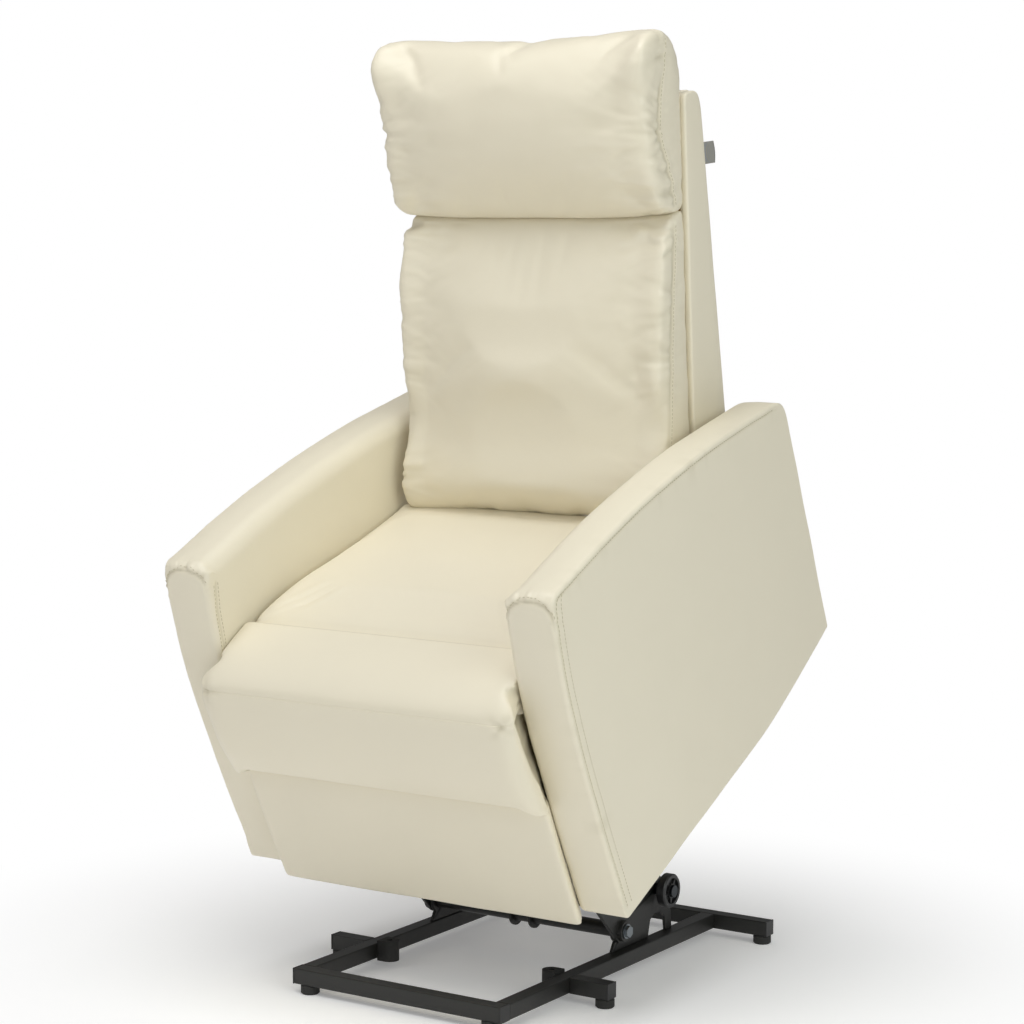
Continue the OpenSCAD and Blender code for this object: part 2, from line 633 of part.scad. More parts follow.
roll_shares = [[1, 0], [1, 0.97], [0.95, 1], [0.45, 0.94], [0.15, 0.81], [-0.02, 0.62], [-0.01, 0.55],
  [0.44, 0.35], [0.52, 0.3], [0.52, 0]];
roll_origin = [crease_y - rest_gap - roll_d, front_rail_low + rail_t];
roll_outline = at(roll_shares, roll_origin, [roll_d, roll_h]);
roll_middle_share = [0.68, 0.55];
roll_middle = at([roll_middle_share], roll_origin, [roll_d, roll_h])[0];
module front_roll() color(ivory) chair() padded(eased(roll_outline, roll_edge), roll_middle,
  half_in - soft_gap, cushion_edge, cushion_edge * draw_share);

// Legrest links, closed
module leg_links_long() color("#8b8f94") chair() both() difference() {
  union() {
    bar(long_pivot, leg_half_w, upper_knee, leg_half_w, leg_x1, leg_t);
    bar(upper_knee, leg_half_w, lower_knee, leg_half_w, leg_x1, leg_t);
    rivet_in(upper_knee, leg_x1);
    rivet_in(lower_knee, leg_x1);
  }
  across(long_pivot, rivet_r + run_gap, leg_x1 - cut, leg_t + 2 * cut);
}
module leg_links_front() color("#8b8f94") chair() both() difference() {
  union() {
    bar(front_pivot, leg_half_w, front_knee, leg_half_w, leg_x1, leg_t);
    rivet_in(front_knee, leg_x1);
  }
  across(front_pivot, rivet_r + run_gap, leg_x1 - cut, leg_t + 2 * cut);
}
module leg_links_lower() color("#9a9ea3") chair() both() difference() {
  union() {
    bar(lower_knee, leg_half_w, front_knee, leg_half_w, leg_x2, leg_t);
    bar(front_knee, leg_half_w, lower_board, leg_half_w, leg_x2, leg_t);
  }
  across(lower_knee, rivet_r + run_gap, leg_x2 - cut, leg_t + 2 * cut);
  across(front_knee, rivet_r + open_rivet_play, leg_x2 - cut, leg_t + 2 * cut);
  across(lower_board, rivet_r + run_gap, leg_x2 - cut, leg_t + 2 * cut);
}
module leg_links_upper() color("#9a9ea3") chair() both() difference() {
  bar(upper_knee, leg_half_w, upper_board, leg_half_w, leg_x2, leg_t);
  across(upper_knee, rivet_r + run_gap, leg_x2 - cut, leg_t + 2 * cut);
  across(upper_board, rivet_r + open_rivet_play, leg_x2 - cut, leg_t + 2 * cut);
}
drive_share = 0.3;
drive_at = long_pivot + drive_share * (lower_knee - long_pivot);
module leg_drive_bar() color("#77797c") chair()
  translate([-leg_x1, drive_at[0] - drive_bar / 2, drive_at[1] - drive_bar / 2])
    cube([2 * leg_x1, drive_bar, drive_bar]);
bracket_reach = 14;
module legrest_brackets() color("#30302e") chair() both() {
  union() {
    bar(lower_board, leg_half_w, upper_board, leg_half_w, leg_x3, leg_t);
    slab(leg_x3, leg_t) polygon([
      [board_back, lower_board[1] - leg_half_w], [lower_board[0], lower_board[1] - leg_half_w],
      [upper_board[0], upper_board[1] + leg_half_w], [board_back, upper_board[1] + leg_half_w]
    ]);
  }
  rivet_out(lower_board, leg_x3 + leg_t);
  rivet_out(upper_board, leg_x3 + leg_t);
  translate([leg_x3 - bracket_reach, board_back, lower_board[1] - leg_half_w])
    cube([bracket_reach, leg_t / 2, upper_board[1] - lower_board[1] + 2 * leg_half_w]);
}
module legrest_board() color(ply) chair() translate([-leg_half_span + rail_t, board_front, board_low])
  cube([2 * (leg_half_span - rail_t), board_t, board_top - board_low]);
pad_d = 62;
pad_low = 246;
pad_h = board_top - pad_low;
pad_shares = [[-0.3, 0], [-0.78, 0.08], [-1.02, 0.4], [-1, 0.9], [-0.86, 1.16], [-0.7, 1.15], [0, 1.04],
  [0, 0]];
pad_origin = [board_front, pad_low];
pad_edge = cushion_edge * draw_share;
pad_outline = at(pad_shares, pad_origin, [pad_d, pad_h]);
pad_middle_share = [-0.5, 0.5];
pad_middle = at([pad_middle_share], pad_origin, [pad_d, pad_h])[0];
module legrest_pad() color(ivory) chair() padded(eased(pad_outline, pad_edge), pad_middle, leg_half_span,
  cushion_edge, cushion_edge * draw_share);
skirt_t = 17;
skirt_low = 22;
skirt_h = pad_low - rest_gap - skirt_low;
skirt_shares = [[-0.5, 0], [-0.9, 0.04], [-1.1, 0.3], [-1.1, 0.8], [-0.9, 1], [0, 1], [0, 0]];
skirt_origin = [board_front, skirt_low];
skirt_edge = skirt_t * draw_share;
skirt_outline = at(skirt_shares, skirt_origin, [skirt_t, skirt_h]);
skirt_middle_share = [-0.5, 0.5];
skirt_middle = at([skirt_middle_share], skirt_origin, [skirt_t, skirt_h])[0];
module legrest_panel() color(ivory) chair() padded(eased(skirt_outline, skirt_edge), skirt_middle,
  leg_half_span, skirt_edge, skirt_edge * draw_share);

// Back
frame_front_shares = [[0.24, 0.236], [0.63, 0.979]];
frame_front = at(frame_front_shares, [0, 0], back_size);
frame_low = -25;
frame_top = back_h - panel_t;
back_inner = back_d - panel_t;
// Place of the frame's front edge at the height p
function front_at(p) = frame_front[0][0] + (frame_front[1][0] - frame_front[0][0])
  * max(0, (p - frame_front[0][1]) / (frame_front[1][1] - frame_front[0][1]));
module back_stiles() color(ply) back() both() slab(stile_x - stile_t, stile_t) polygon([
  [back_inner, frame_low], [back_inner, frame_top], [front_at(frame_top), frame_top], frame_front[0],
  [frame_front[0][0], frame_low]
]);
rail_shares = [0, 0.45, 0.93];
rail_h = 45;
module back_rails() color(ply) back() for (s = rail_shares)
  translate([-stile_x + stile_t, back_inner - rail_t, frame_low + s * back_h])
    cube([2 * (stile_x - stile_t), rail_t, rail_h]);
spring_shares = [0.16, 0.34, 0.52, 0.7, 0.86];
back_zigzag_half = 18;
module back_springs() color("#8d9196") back() for (s = spring_shares)
  translate([-stile_x + stile_t, front_at(s * back_h + back_zigzag_half + wire) + wire, s * back_h])
    rotate([90, 0, 0])
    linear_extrude(wire) polygon(band(zigzag(2 * (stile_x - stile_t), back_zigzag_half, zigzag_n), wire));
// Arms of the hinge, bolted on the outer faces of the stiles, with the hinge's pins
hinge_t = leg_t + link_gap / 2;
hinge_knee = [back_d / 2, back_d / 4];
hinge_top = 95;
module back_hinge_brackets() color("#30302e") back() both() {
  bar([0, 0], side_boss_r, hinge_knee, side_boss_r, stile_x, hinge_t);
  bar(hinge_knee, side_boss_r, [hinge_knee[0], hinge_top - side_boss_r], side_boss_r, stile_x, hinge_t);
  across([0, 0], pivot_r, stile_x, plate_x + leg_t - stile_x);
}
side_shares = [[0.24, 0.15], [0.24, 0.236], [0.642, 1], [0.93, 1], [1, 0.97], [1, 0.15]];
side_ease_n = 2;
module back_side_panels() color(ivory) back() both() slab(stile_x, half_back - stile_x)
  polygon(eased(at(side_shares, [0, 0], back_size), panel_t, side_ease_n));
module back_rear_panel() color(ivory) back() slab(-stile_x, 2 * stile_x) polygon([
  [back_inner, frame_low], [back_d, frame_low], [back_d, frame_top], [back_d - panel_t / 2, back_h],
  [front_at(back_h), back_h], [front_at(frame_top), frame_top], [back_inner, frame_top]
]);
// Back cushion and head pillow lie on the frame's front edge, the pillow's foot on the cushion's top
seam_p = 486;
cushion_heel_p = 38;
cushion_shares = [[0.26, 0.731], [-0.1, 0.632], [-0.23, 0.451], [-0.33, 0.226], [-0.55, 0.1], [-0.57, 0.05],
  [-0.5, 0.017], [-0.36, 0.003], [-0.17, 0.02]];
cushion_outline = concat(
  [for (p = [cushion_heel_p, frame_front[0][1], seam_p]) [front_at(p) - rest_gap, p]],
  at(cushion_shares, [0, 0], back_size)
);
cushion_middle_share = [-0.05, 0.36];
cushion_middle = at([cushion_middle_share], [0, 0], back_size)[0];
module back_cushion() color(ivory) back() padded(eased(cushion_outline, cushion_edge * draw_share),
  cushion_middle, half_back - soft_gap, cushion_edge, cushion_edge * draw_share, back_crown, [-1, 0]);
pillow_shares = [[0.64, 1.03], [0.56, 1.11], [0.42, 1.15], [0.22, 1.166], [-0.04, 1.15], [-0.17, 1.105],
  [-0.18, 0.98], [-0.15, 0.84], [0, 0.753], [0.22, 0.7325]];
pillow_outline = concat(
  [for (p = [seam_p + rest_gap, frame_top]) [front_at(p) - rest_gap, p]],
  at(pillow_shares, [0, 0], back_size)
);
pillow_middle_share = [0.18, 0.94];
pillow_middle = at([pillow_middle_share], [0, 0], back_size)[0];
module head_pillow() color(ivory) back() padded(eased(pillow_outline, cushion_edge * draw_share),
  pillow_middle, half_back - soft_gap, cushion_edge, cushion_edge * draw_share, pillow_crown, [-1, 0]);

// The row's middle lies halfway between the raised chair's foremost and rearmost points
chair_raised_y = [for (p = concat(eased(arm_outline, arm_edge, arm_ease_n), eased(roll_outline, roll_edge),
  eased(pad_outline, pad_edge))) raised(p)[0]];
row_y = -(min(chair_raised_y) + max(chair_raised_y)) / 2;

base_front_bar();
base_side_bar_left();
base_side_bar_right();
base_rear_bar();
base_outriggers();
base_end_plugs();
base_feet();
rest_blocks();
base_bracket_left();
base_bracket_right();
bracket_bolts();
bracket_roller_left();
bracket_roller_right();
motor_clevis();
motor_clevis_pin();
lift_shaft();
lift_arm_left();
lift_arm_right();
shaft_bolts();
lift_crank();
crank_pin();
rear_link_left();
rear_link_right();
rear_link_pins();
actuator_housing();
actuator_motor();
actuator_tube();
actuator_rod();
seat_side_rails();
seat_front_rail();
seat_rear_rail();
seat_cross_tubes();
seat_springs();
lift_plate_left();
lift_plate_right();
lift_pins();
side_plate_left();
side_plate_right();
arm_left();
arm_right();
seat_cushion();
front_roll();
leg_links_long();
leg_drive_bar();
leg_links_front();
leg_links_lower();
leg_links_upper();
legrest_brackets();
legrest_board();
legrest_pad();
legrest_panel();
back_stiles();
back_rails();
back_springs();
back_hinge_brackets();
back_side_panels();
back_rear_panel();
back_cushion();
head_pillow();
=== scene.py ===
"""Looks of the lift recliner: leather upholstery, painted steel, plastic, rubber and wood on its frame.

Side-view places are in millimetres, to the rear first and then up. The chair's own pieces are written as they
lie with the chair down, and the back's pieces from its hinge, along and across its lean. They are turned into
the rest pose, which is the raised one, as they are made.
"""

import math

import bmesh
import bpy
import numpy as np
from mathutils import Matrix, Vector, noise
from mathutils.bvhtree import BVHTree
from mathutils.geometry import delaunay_2d_cdt
from mathutils.kdtree import KDTree


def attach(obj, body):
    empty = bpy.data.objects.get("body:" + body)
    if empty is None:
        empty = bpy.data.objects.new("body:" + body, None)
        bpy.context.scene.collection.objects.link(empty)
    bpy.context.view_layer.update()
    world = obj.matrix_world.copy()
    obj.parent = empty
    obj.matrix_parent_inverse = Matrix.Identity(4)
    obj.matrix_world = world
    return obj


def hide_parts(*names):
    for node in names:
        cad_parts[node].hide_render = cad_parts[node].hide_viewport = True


bl_info = {
    "name": "Lift recliner looks",
    "version": (1, 0, 0),
    "blender": (4, 2, 0),
    "location": "View3D > Sidebar > Recliner",
    "description": "Builds the upholstery and finishes of a lift recliner on its packed frame",
    "category": "Object",
}

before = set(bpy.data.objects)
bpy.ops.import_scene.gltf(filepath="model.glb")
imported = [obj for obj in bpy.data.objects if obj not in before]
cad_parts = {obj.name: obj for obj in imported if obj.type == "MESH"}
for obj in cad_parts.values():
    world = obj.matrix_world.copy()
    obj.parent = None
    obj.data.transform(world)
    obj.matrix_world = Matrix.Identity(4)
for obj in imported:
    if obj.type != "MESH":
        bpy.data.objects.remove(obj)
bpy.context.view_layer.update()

MM = 0.001
# The rest pose turns the lowered chair about the pole by the tilt, and the row centres it from front to rear
POLE = (-605.0, 321.0)
TILT = math.radians(26.2)
ROW_Y = 25.3327
# The back's hinge and lean, and two points of its frame's front edge, across and along the lean
HINGE = (225.0, 372.0)
LEAN = math.radians(15.5)
BACK_LINE = ((33.1, 156.9), (86.9, 651.0))
# Half the width of the back cushion and the head pillow, and the height along the lean where they meet
BACK_HALF = 253
MEET = 487
# Place of the legrest board's strip, round which the leather of the pad and the panel folds
BOARD_STRIP = -334

# Outlines of the soft pieces: place, height and how far each corner is rounded
ARM = [(-344.6, 30, 10), (170.9, 30, 60), (399.9, 62.8, 5), (416, 473.4, 30), (396.9, 495.2, 24),
       (268.9, 522.5, 120), (141, 548.7, 120), (-97.2, 576, 150), (-313.2, 576, 16), (-329.3, 521.4, 90),
       (-346.9, 412.2, 150), (-350, 253.9, 200)]
SEAT = [(-266, 351.5, 8), (130, 298.5, 4), (149.7, 298.5, 4), (182, 403, 12), (151, 402, 22), (-47, 433, 200),
        (-178.4, 450, 60), (-252.9, 450, 24), (-266, 434, 10)]
ROLL = [(-266.3, 354, 6), (-266.3, 449, 8), (-274, 451, 6), (-335.6, 444.2, 40), (-373.4, 431.8, 24),
        (-393.2, 417.6, 16), (-399.0, 406.2, 0.6), (-336.9, 387.6, 8), (-326.8, 382.8, 5), (-326.8, 354, 6)]
PAD = [(-366, 246.3, 4), (-394.4, 255, 9), (-409.2, 301.2, 40), (-408.8, 368, 40), (-404.6, 393.5, 18),
       (-399.2, 406.6, 0.6), (-346, 388.9, 6), (-346, 246, 6)]
PANEL = [(-354.5, 13, 4), (-361.3, 17, 6), (-364.7, 89, 60), (-364.7, 206, 40), (-362.5, 236, 10),
         (-355, 242.5, 5), (-346, 242.5, 2), (-346, 13, 2)]
CUSHION = [(32.8, 38, 11), (32.8, 157, 11), (68.4, 486, 8), (35.9, 487, 12), (-13.8, 424, 200),
           (-31.7, 300, 200), (-45.5, 150.3, 200), (-75.9, 68, 44), (-78.7, 33.3, 16), (-69, 11.3, 12),
           (-49.7, 2, 10), (-23.5, 13, 11)]
PILLOW = [(68.1, 486.3, 8), (86.6, 651, 11), (88.3, 685, 20), (77.3, 738.2, 24), (58, 764.8, 18),
          (30.4, 775.4, 18), (-5.5, 764.8, 22), (-23.5, 734.8, 60), (-24.8, 651.7, 200), (-20.7, 558.6, 200),
          (-4, 503, 40), (26, 488, 16)]
BACK_SIDE = [(33.1, 99.8, 8), (33.1, 156.9, 30), (88.0, 665, 16), (128.3, 665, 14), (138, 645, 18),
             (138, 99.8, 8)]
BACK_REAR = [(124, -25, 2), (138, -25, 4), (138, 651, 9), (131, 665, 7), (88.4, 665, 3), (87, 651, 3),
             (124, 651, 2)]


def from_chair(points):
    """Points (x, place, height) of the lowered chair, in mm, to metres in the raised rest pose."""
    x, y, z = np.asarray(points, float).reshape(-1, 3).T
    y, z = y - POLE[0], z - POLE[1]
    c, s = math.cos(TILT), math.sin(TILT)
    return np.stack([x, POLE[0] + c * y - s * z + ROW_Y, POLE[1] + s * y + c * z], 1) * MM


def to_chair(points):
    """The reverse of from_chair."""
    x, y, z = np.asarray(points, float).reshape(-1, 3).T / MM
    y, z = y - POLE[0] - ROW_Y, z - POLE[1]
    c, s = math.cos(TILT), math.sin(TILT)
    return np.stack([x, POLE[0] + c * y + s * z, POLE[1] - s * y + c * z], 1)


def from_back(points):
    """Points (x, across the lean, along the lean) from the back's hinge, in mm, to metres at rest."""
    x, q, p = np.asarray(points, float).reshape(-1, 3).T
    c, s = math.cos(LEAN), math.sin(LEAN)
    return from_chair(np.stack([x, HINGE[0] + c * q + s * p, HINGE[1] - s * q + c * p], 1))


def to_back(points):
    """The reverse of from_back."""
    x, y, z = to_chair(points).T
    y, z = y - HINGE[0], z - HINGE[1]
    c, s = math.cos(LEAN), math.sin(LEAN)
    return np.stack([x, c * y - s * z, s * y + c * z], 1)


def back_line(p):
    """Place across the lean of the back frame's front edge at the height p."""
    (q0, p0), (q1, p1) = BACK_LINE
    return q0 + (q1 - q0) * np.maximum(0, (np.asarray(p, float) - p0) / (p1 - p0))


def soft_step(value, low, high):
    """0 below low, 1 above high and an even slope between them."""
    t = np.clip((value - low) / (high - low), 0, 1)
    return t * t * (3 - 2 * t)


def eased(corners, steps=6):
    """A closed outline of points from corners that each say how far they are rounded."""
    made = []
    for i, (a, b, r) in enumerate(corners):
        here = np.array([a, b], float)
        before = np.array(corners[i - 1][:2], float)
        after = np.array(corners[(i + 1) % len(corners)][:2], float)
        lb, la = np.linalg.norm(before - here), np.linalg.norm(after - here)
        start = here + (before - here) / lb * min(r, lb / 2)
        end = here + (after - here) / la * min(r, la / 2)
        for t in np.linspace(0, 1, steps):
            made.append((1 - t) ** 2 * start + 2 * t * (1 - t) * here + t * t * end)
    return np.array(made)


def resampled(points, spacing, closed=True):
    """The polyline as evenly spaced points."""
    pts = np.vstack([points, points[:1]]) if closed else np.asarray(points, float)
    gone = np.concatenate([[0], np.cumsum(np.linalg.norm(np.diff(pts, axis=0), axis=1))])
    keep = np.concatenate([[True], np.diff(gone) > 1e-9])
    pts, gone = pts[keep], gone[keep]
    count = max(3, int(round(gone[-1] / spacing)))
    at = np.linspace(0, gone[-1], count, endpoint=False) if closed else np.linspace(0, gone[-1], count + 1)
    return np.stack([np.interp(at, gone, pts[:, k]) for k in range(pts.shape[1])], 1)


def outward(outline):
    """Unit normals of a closed outline in the side view, pointing out of it."""
    ahead = np.roll(outline, -2, 0) - np.roll(outline, 2, 0)
    n = np.stack([ahead[:, 1], -ahead[:, 0]], 1)
    n /= np.linalg.norm(n, axis=1)[:, None]
    area = np.sum(outline[:, 0] * np.roll(outline[:, 1], -1) - np.roll(outline[:, 0], -1) * outline[:, 1])
    return n if area > 0 else -n


class Outline:
    """A closed outline whose points keep their places along it when it is drawn in, by up to deepest mm."""

    # It is worked out from this far outside itself, in these steps. A corner gets sharper as it is drawn in
    outmost, step = 4.0, 2.0
    round_share, least_round, least_steps = 0.8, 1.5, 6

    def __init__(self, corners, spacing, deepest=44.0):
        self.corners = corners
        before = np.array([c[:2] for c in corners[-1:] + corners[:-1]], float)
        here = np.array([c[:2] for c in corners], float)
        after = np.array([c[:2] for c in corners[1:] + corners[:1]], float)
        turn = np.sum(here[:, 0] * after[:, 1] - after[:, 0] * here[:, 1])
        into, along = here - before, after - here
        into /= np.linalg.norm(into, axis=1)[:, None]
        along /= np.linalg.norm(along, axis=1)[:, None]
        n1 = np.stack([into[:, 1], -into[:, 0]], 1) * np.sign(turn)
        n2 = np.stack([along[:, 1], -along[:, 0]], 1) * np.sign(turn)
        self.here = here
        self.way = (n1 + n2) / (1 + np.sum(n1 * n2, axis=1))[:, None]
        side = np.linalg.norm(after - here, axis=1)
        r = np.array([c[2] for c in corners], float)
        cut_in = np.minimum(r, np.roll(side, 1) / 2)
        cut_out = np.minimum(r, side / 2)
        self.steps = np.maximum(self.least_steps, np.round((cut_in + cut_out) / spacing).astype(int))
        straight = side - cut_out - np.roll(cut_in, -1)
        self.parts = np.where(straight < 1, 0, np.maximum(1, np.round(straight / spacing).astype(int)))
        self.insets = np.arange(-self.outmost, deepest + self.step, self.step)
        self.rings = np.array([self.ring(d) for d in self.insets])
        self.around = self.rings.shape[1]

    def rounding(self, corner, inset):
        return max(self.least_round, self.corners[corner][2] - max(0.0, inset) * self.round_share)

    def ring(self, inset):
        """The outline's points, all drawn in by the same inset."""
        here = self.here - self.way * inset
        made = []
        for i in range(len(here)):
            following = (i + 1) % len(here)
            before, after = here[i - 1], here[following]
            r, r_next = self.rounding(i, inset), self.rounding(following, inset)
            lb, la = np.linalg.norm(before - here[i]), np.linalg.norm(after - here[i])
            start = here[i] + (before - here[i]) / lb * min(r, lb / 2)
            end = here[i] + (after - here[i]) / la * min(r, la / 2)
            far_end = after + (here[i] - after) / la * min(r_next, la / 2)
            for t in np.arange(self.steps[i]) / self.steps[i]:
                made.append((1 - t) ** 2 * start + 2 * t * (1 - t) * here[i] + t * t * end)
            for t in np.arange(self.parts[i]) / max(1, self.parts[i]):
                made.append(end + (far_end - end) * t)
        return np.array(made)

    def at(self, inset):
        """The outline's points, each drawn in by its own inset."""
        place = np.interp(inset + np.zeros(self.around), self.insets, np.arange(len(self.insets)))
        low = np.minimum(place.astype(int), len(self.insets) - 2)
        share, k = (place - low)[:, None], np.arange(self.around)
        return self.rings[low, k] * (1 - share) + self.rings[low + 1, k] * share


def tube_faces(rings, around):
    """Quads between rings of points that follow each other."""
    i = np.arange(around)
    j = (i + 1) % around
    rows = [np.stack([k * around + i, k * around + j, (k + 1) * around + j, (k + 1) * around + i], 1)
            for k in range(rings - 1)]
    return np.vstack(rows)


def flat_field(edge, spacing):
    """Fills a closed outline with triangles. Returns the points inside it, and the faces, which count the
    outline's own points first."""
    least_gap, same_place, keep_inside = 0.6 * spacing, 1e-6, 1
    low, high = edge.min(0), edge.max(0)
    a, b = np.meshgrid(np.arange(low[0], high[0], spacing), np.arange(low[1], high[1], spacing))
    grid = np.stack([a.ravel(), b.ravel()], 1)
    ahead = np.roll(edge, -1, 0)
    inside = np.zeros(len(grid), bool)
    for (x0, y0), (x1, y1) in zip(edge, ahead):
        crosses = (y0 > grid[:, 1]) != (y1 > grid[:, 1])
        if crosses.any():
            at = x0 + (grid[crosses, 1] - y0) * (x1 - x0) / (y1 - y0)
            inside[crosses] ^= grid[crosses, 0] < at
    grid = grid[inside]
    far = np.min(np.linalg.norm(grid[:, None] - edge[None], axis=2), axis=1)
    grid = grid[far > least_gap]
    count = len(edge)
    given = [Vector(p) for p in np.vstack([edge, grid])]
    rim = [(k, (k + 1) % count) for k in range(count)]
    made = delaunay_2d_cdt(given, rim, [], keep_inside, same_place)
    everything = np.vstack([edge, grid])
    first_of = [ids[0] if ids else int(np.argmin(np.linalg.norm(everything - np.array(p), axis=1)))
                for ids, p in zip(made[3], made[0])]
    faces = [tuple(first_of[k] for k in face) for face in made[2]]
    return grid, [face for face in faces if len(set(face)) == len(face)]


def capped(rings, faces, spacing):
    """Closes the first and last ring of (x, place, height) with flat fields. Returns all points and faces."""
    around, ends = len(rings[0]), (0, len(rings) - 1)
    for end in ends:
        field, triangles = flat_field(rings[end][:, 1:], spacing)
        first = sum(len(ring) for ring in rings)
        rings.append(np.column_stack([np.full(len(field), rings[end][0, 0]), field]))
        faces += [tuple(end * around + k if k < around else first + k - around for k in face)
                  for face in triangles]
    return np.vstack(rings), faces


def mesh_piece(name, points, faces, material, smooth=True):
    """A new mesh object from points in metres and faces."""
    mesh = bpy.data.meshes.new(name)
    mesh.from_pydata(np.asarray(points, float).tolist(), [], [tuple(int(v) for v in f) for f in faces])
    mesh.validate()
    mesh.materials.append(material)
    mesh.polygons.foreach_set("use_smooth", [smooth] * len(mesh.polygons))
    piece = bpy.data.objects.new(name, mesh)
    bpy.context.scene.collection.objects.link(piece)
    face_out(piece)
    return piece


def face_out(piece):
    """Turns all faces outward."""
    made = bmesh.new()
    made.from_mesh(piece.data)
    bmesh.ops.recalc_face_normals(made, faces=made.faces)
    made.to_mesh(piece.data)
    made.free()


def points_of(piece):
    """The piece's points in metres, one row each."""
    co = np.zeros(len(piece.data.vertices) * 3)
    piece.data.vertices.foreach_get("co", co)
    return co.reshape(-1, 3)


def set_points(piece, co):
    """Moves the piece's points."""
    piece.data.vertices.foreach_set("co", np.asarray(co, float).ravel())
    piece.data.update()


def normals_of(piece):
    """The way out of the piece at each point."""
    n = np.zeros(len(piece.data.vertices) * 3)
    piece.data.vertex_normals.foreach_get("vector", n)
    return n.reshape(-1, 3)


def mark(piece, values):
    """Stores how much painted shade each point gets, most in seams, folds and the gaps between pieces."""
    layer = piece.data.attributes.get("painted_shade") or piece.data.attributes.new("painted_shade", "FLOAT", "POINT")
    old = np.zeros(len(piece.data.vertices))
    layer.data.foreach_get("value", old)
    layer.data.foreach_set("value", np.clip(np.maximum(old, values), 0, 1))


def wavy(piece, height, size, seed):
    """Gives the leather its slow unevenness, of a height and a size in mm."""
    co, n = points_of(piece), normals_of(piece)
    shift = Vector((seed * 7.1, seed * 3.3, seed))
    push = np.array([noise.noise(Vector(p) / (size * MM) + shift) for p in co])
    set_points(piece, co + n * (push * height * MM)[:, None])


def from_modifiers(piece):
    """Makes the piece's modifiers part of its mesh."""
    bpy.context.view_layer.update()
    ready = piece.evaluated_get(bpy.context.evaluated_depsgraph_get())
    made = bpy.data.meshes.new_from_object(ready)
    old = piece.data
    piece.modifiers.clear()
    piece.data = made
    bpy.data.meshes.remove(old)
    made.polygons.foreach_set("use_smooth", [True] * len(made.polygons))


def remeshed(piece, voxel):
    """Gives the piece an even mesh of cells of voxel mm."""
    change = piece.modifiers.new("voxels", "REMESH")
    change.mode, change.voxel_size = "VOXEL", voxel * MM
    from_modifiers(piece)


def subdivided(piece):
    """Makes the mesh finer and smoother by one step."""
    change = piece.modifiers.new("finer", "SUBSURF")
    change.levels = change.render_levels = 1
    from_modifiers(piece)


def relaxed(piece, times):
    """Smooths the mesh as often as times says."""
    change = piece.modifiers.new("smoother", "SMOOTH")
    change.iterations, change.factor = times, 0.5
    from_modifiers(piece)


CLOTH_STEPS = 20


def inflated(piece, held, pressure, cap, slack):
    """Blows the piece up as cloth. held gives each point's hold, 0 to 1, and cap is how far a point may move,
    in mm. slack is the share by which the cloth is larger than the piece."""
    rest = points_of(piece)
    group = piece.vertex_groups.new(name="held")
    for k, w in enumerate(held):
        if w > 0:
            group.add([k], float(w), "REPLACE")
    cloth = piece.modifiers.new("cloth", "CLOTH")
    s = cloth.settings
    s.quality, s.mass = 5, 0.3
    s.tension_stiffness = s.compression_stiffness = 12
    s.shear_stiffness, s.bending_stiffness = 5, 0.6
    s.tension_damping = s.compression_damping = s.shear_damping = 8
    s.air_damping = 2
    s.vertex_group_mass = "held"
    s.use_pressure, s.uniform_pressure_force = True, pressure
    s.shrink_min = -slack
    s.effector_weights.gravity = 0
    cloth.collision_settings.use_collision = False
    cloth.point_cache.frame_start, cloth.point_cache.frame_end = 1, CLOTH_STEPS
    for step in range(1, CLOTH_STEPS + 1):
        bpy.context.scene.frame_set(step)
    ready = piece.evaluated_get(bpy.context.evaluated_depsgraph_get())
    blown = np.zeros(len(rest) * 3)
    ready.data.vertices.foreach_get("co", blown)
    move = blown.reshape(-1, 3) - rest
    far = np.linalg.norm(move, axis=1) / (cap * MM)
    move /= np.maximum(1, far)[:, None]
    piece.modifiers.clear()
    piece.vertex_groups.clear()
    set_points(piece, rest + move)
    bpy.context.scene.frame_set(1)


def sewn(piece, path, depth, width, pleats, pitch, reach, seed, toward=None, shade=1.0):
    """Draws a seam into the piece along a path of points in metres, with a swell on each side and pleats.
    depth, width, the pleats' height, pitch and reach are in mm. toward limits the pleats to the side it
    points to, and shade is how much painted shade the groove gets; the pleats' hollows get painted shade too."""
    spacing, swell_share, swell_at, swell_width, pleat_shade = 2, 0.4, 2.8 * width, 1.6 * width, 0.7
    line = resampled(np.asarray(path), spacing * MM, closed=False)
    tree = KDTree(len(line))
    for k, p in enumerate(line):
        tree.insert(p, k)
    tree.balance()
    co, n = points_of(piece), normals_of(piece)
    limit = max(reach * 2.5, width * 5) * MM
    low, high = line.min(0) - limit, line.max(0) + limit
    near = np.nonzero(np.all((co > low) & (co < high), axis=1))[0]
    # The second array is the painted shade: darkest in the seam's groove and in the pleats' hollows
    push, shade_paint = np.zeros(len(co)), np.zeros(len(co))
    for k in near:
        place, index, d = tree.find(co[k])
        d /= MM
        if d * MM > limit:
            continue
        groove = math.exp(-(d / width) ** 2)
        swell = swell_share * math.exp(-((d - swell_at) / swell_width) ** 2)
        push[k] = depth * (swell - groove)
        shade_paint[k] = groove * shade
        if pleats:
            along = spacing * index / pitch
            side = 1.0
            if toward is not None:
                side = 1.0 if float(np.dot(co[k] - np.array(place), toward)) > 0 else 0.0
            wave = noise.noise(Vector((along, seed, 0.15 * d / pitch))) + 0.5 * noise.noise(
                Vector((2.3 * along, seed + 5.0, 0.2 * d / pitch)))
            fade = math.exp(-d / reach) * (1 - math.exp(-(d / (0.8 * width)) ** 2))
            push[k] += pleats * wave * fade * side * 1.6
            shade_paint[k] = max(shade_paint[k], pleat_shade * max(0.0, -wave) * fade * side)
    set_points(piece, co + n * (push * MM)[:, None])
    mark(piece, shade_paint)


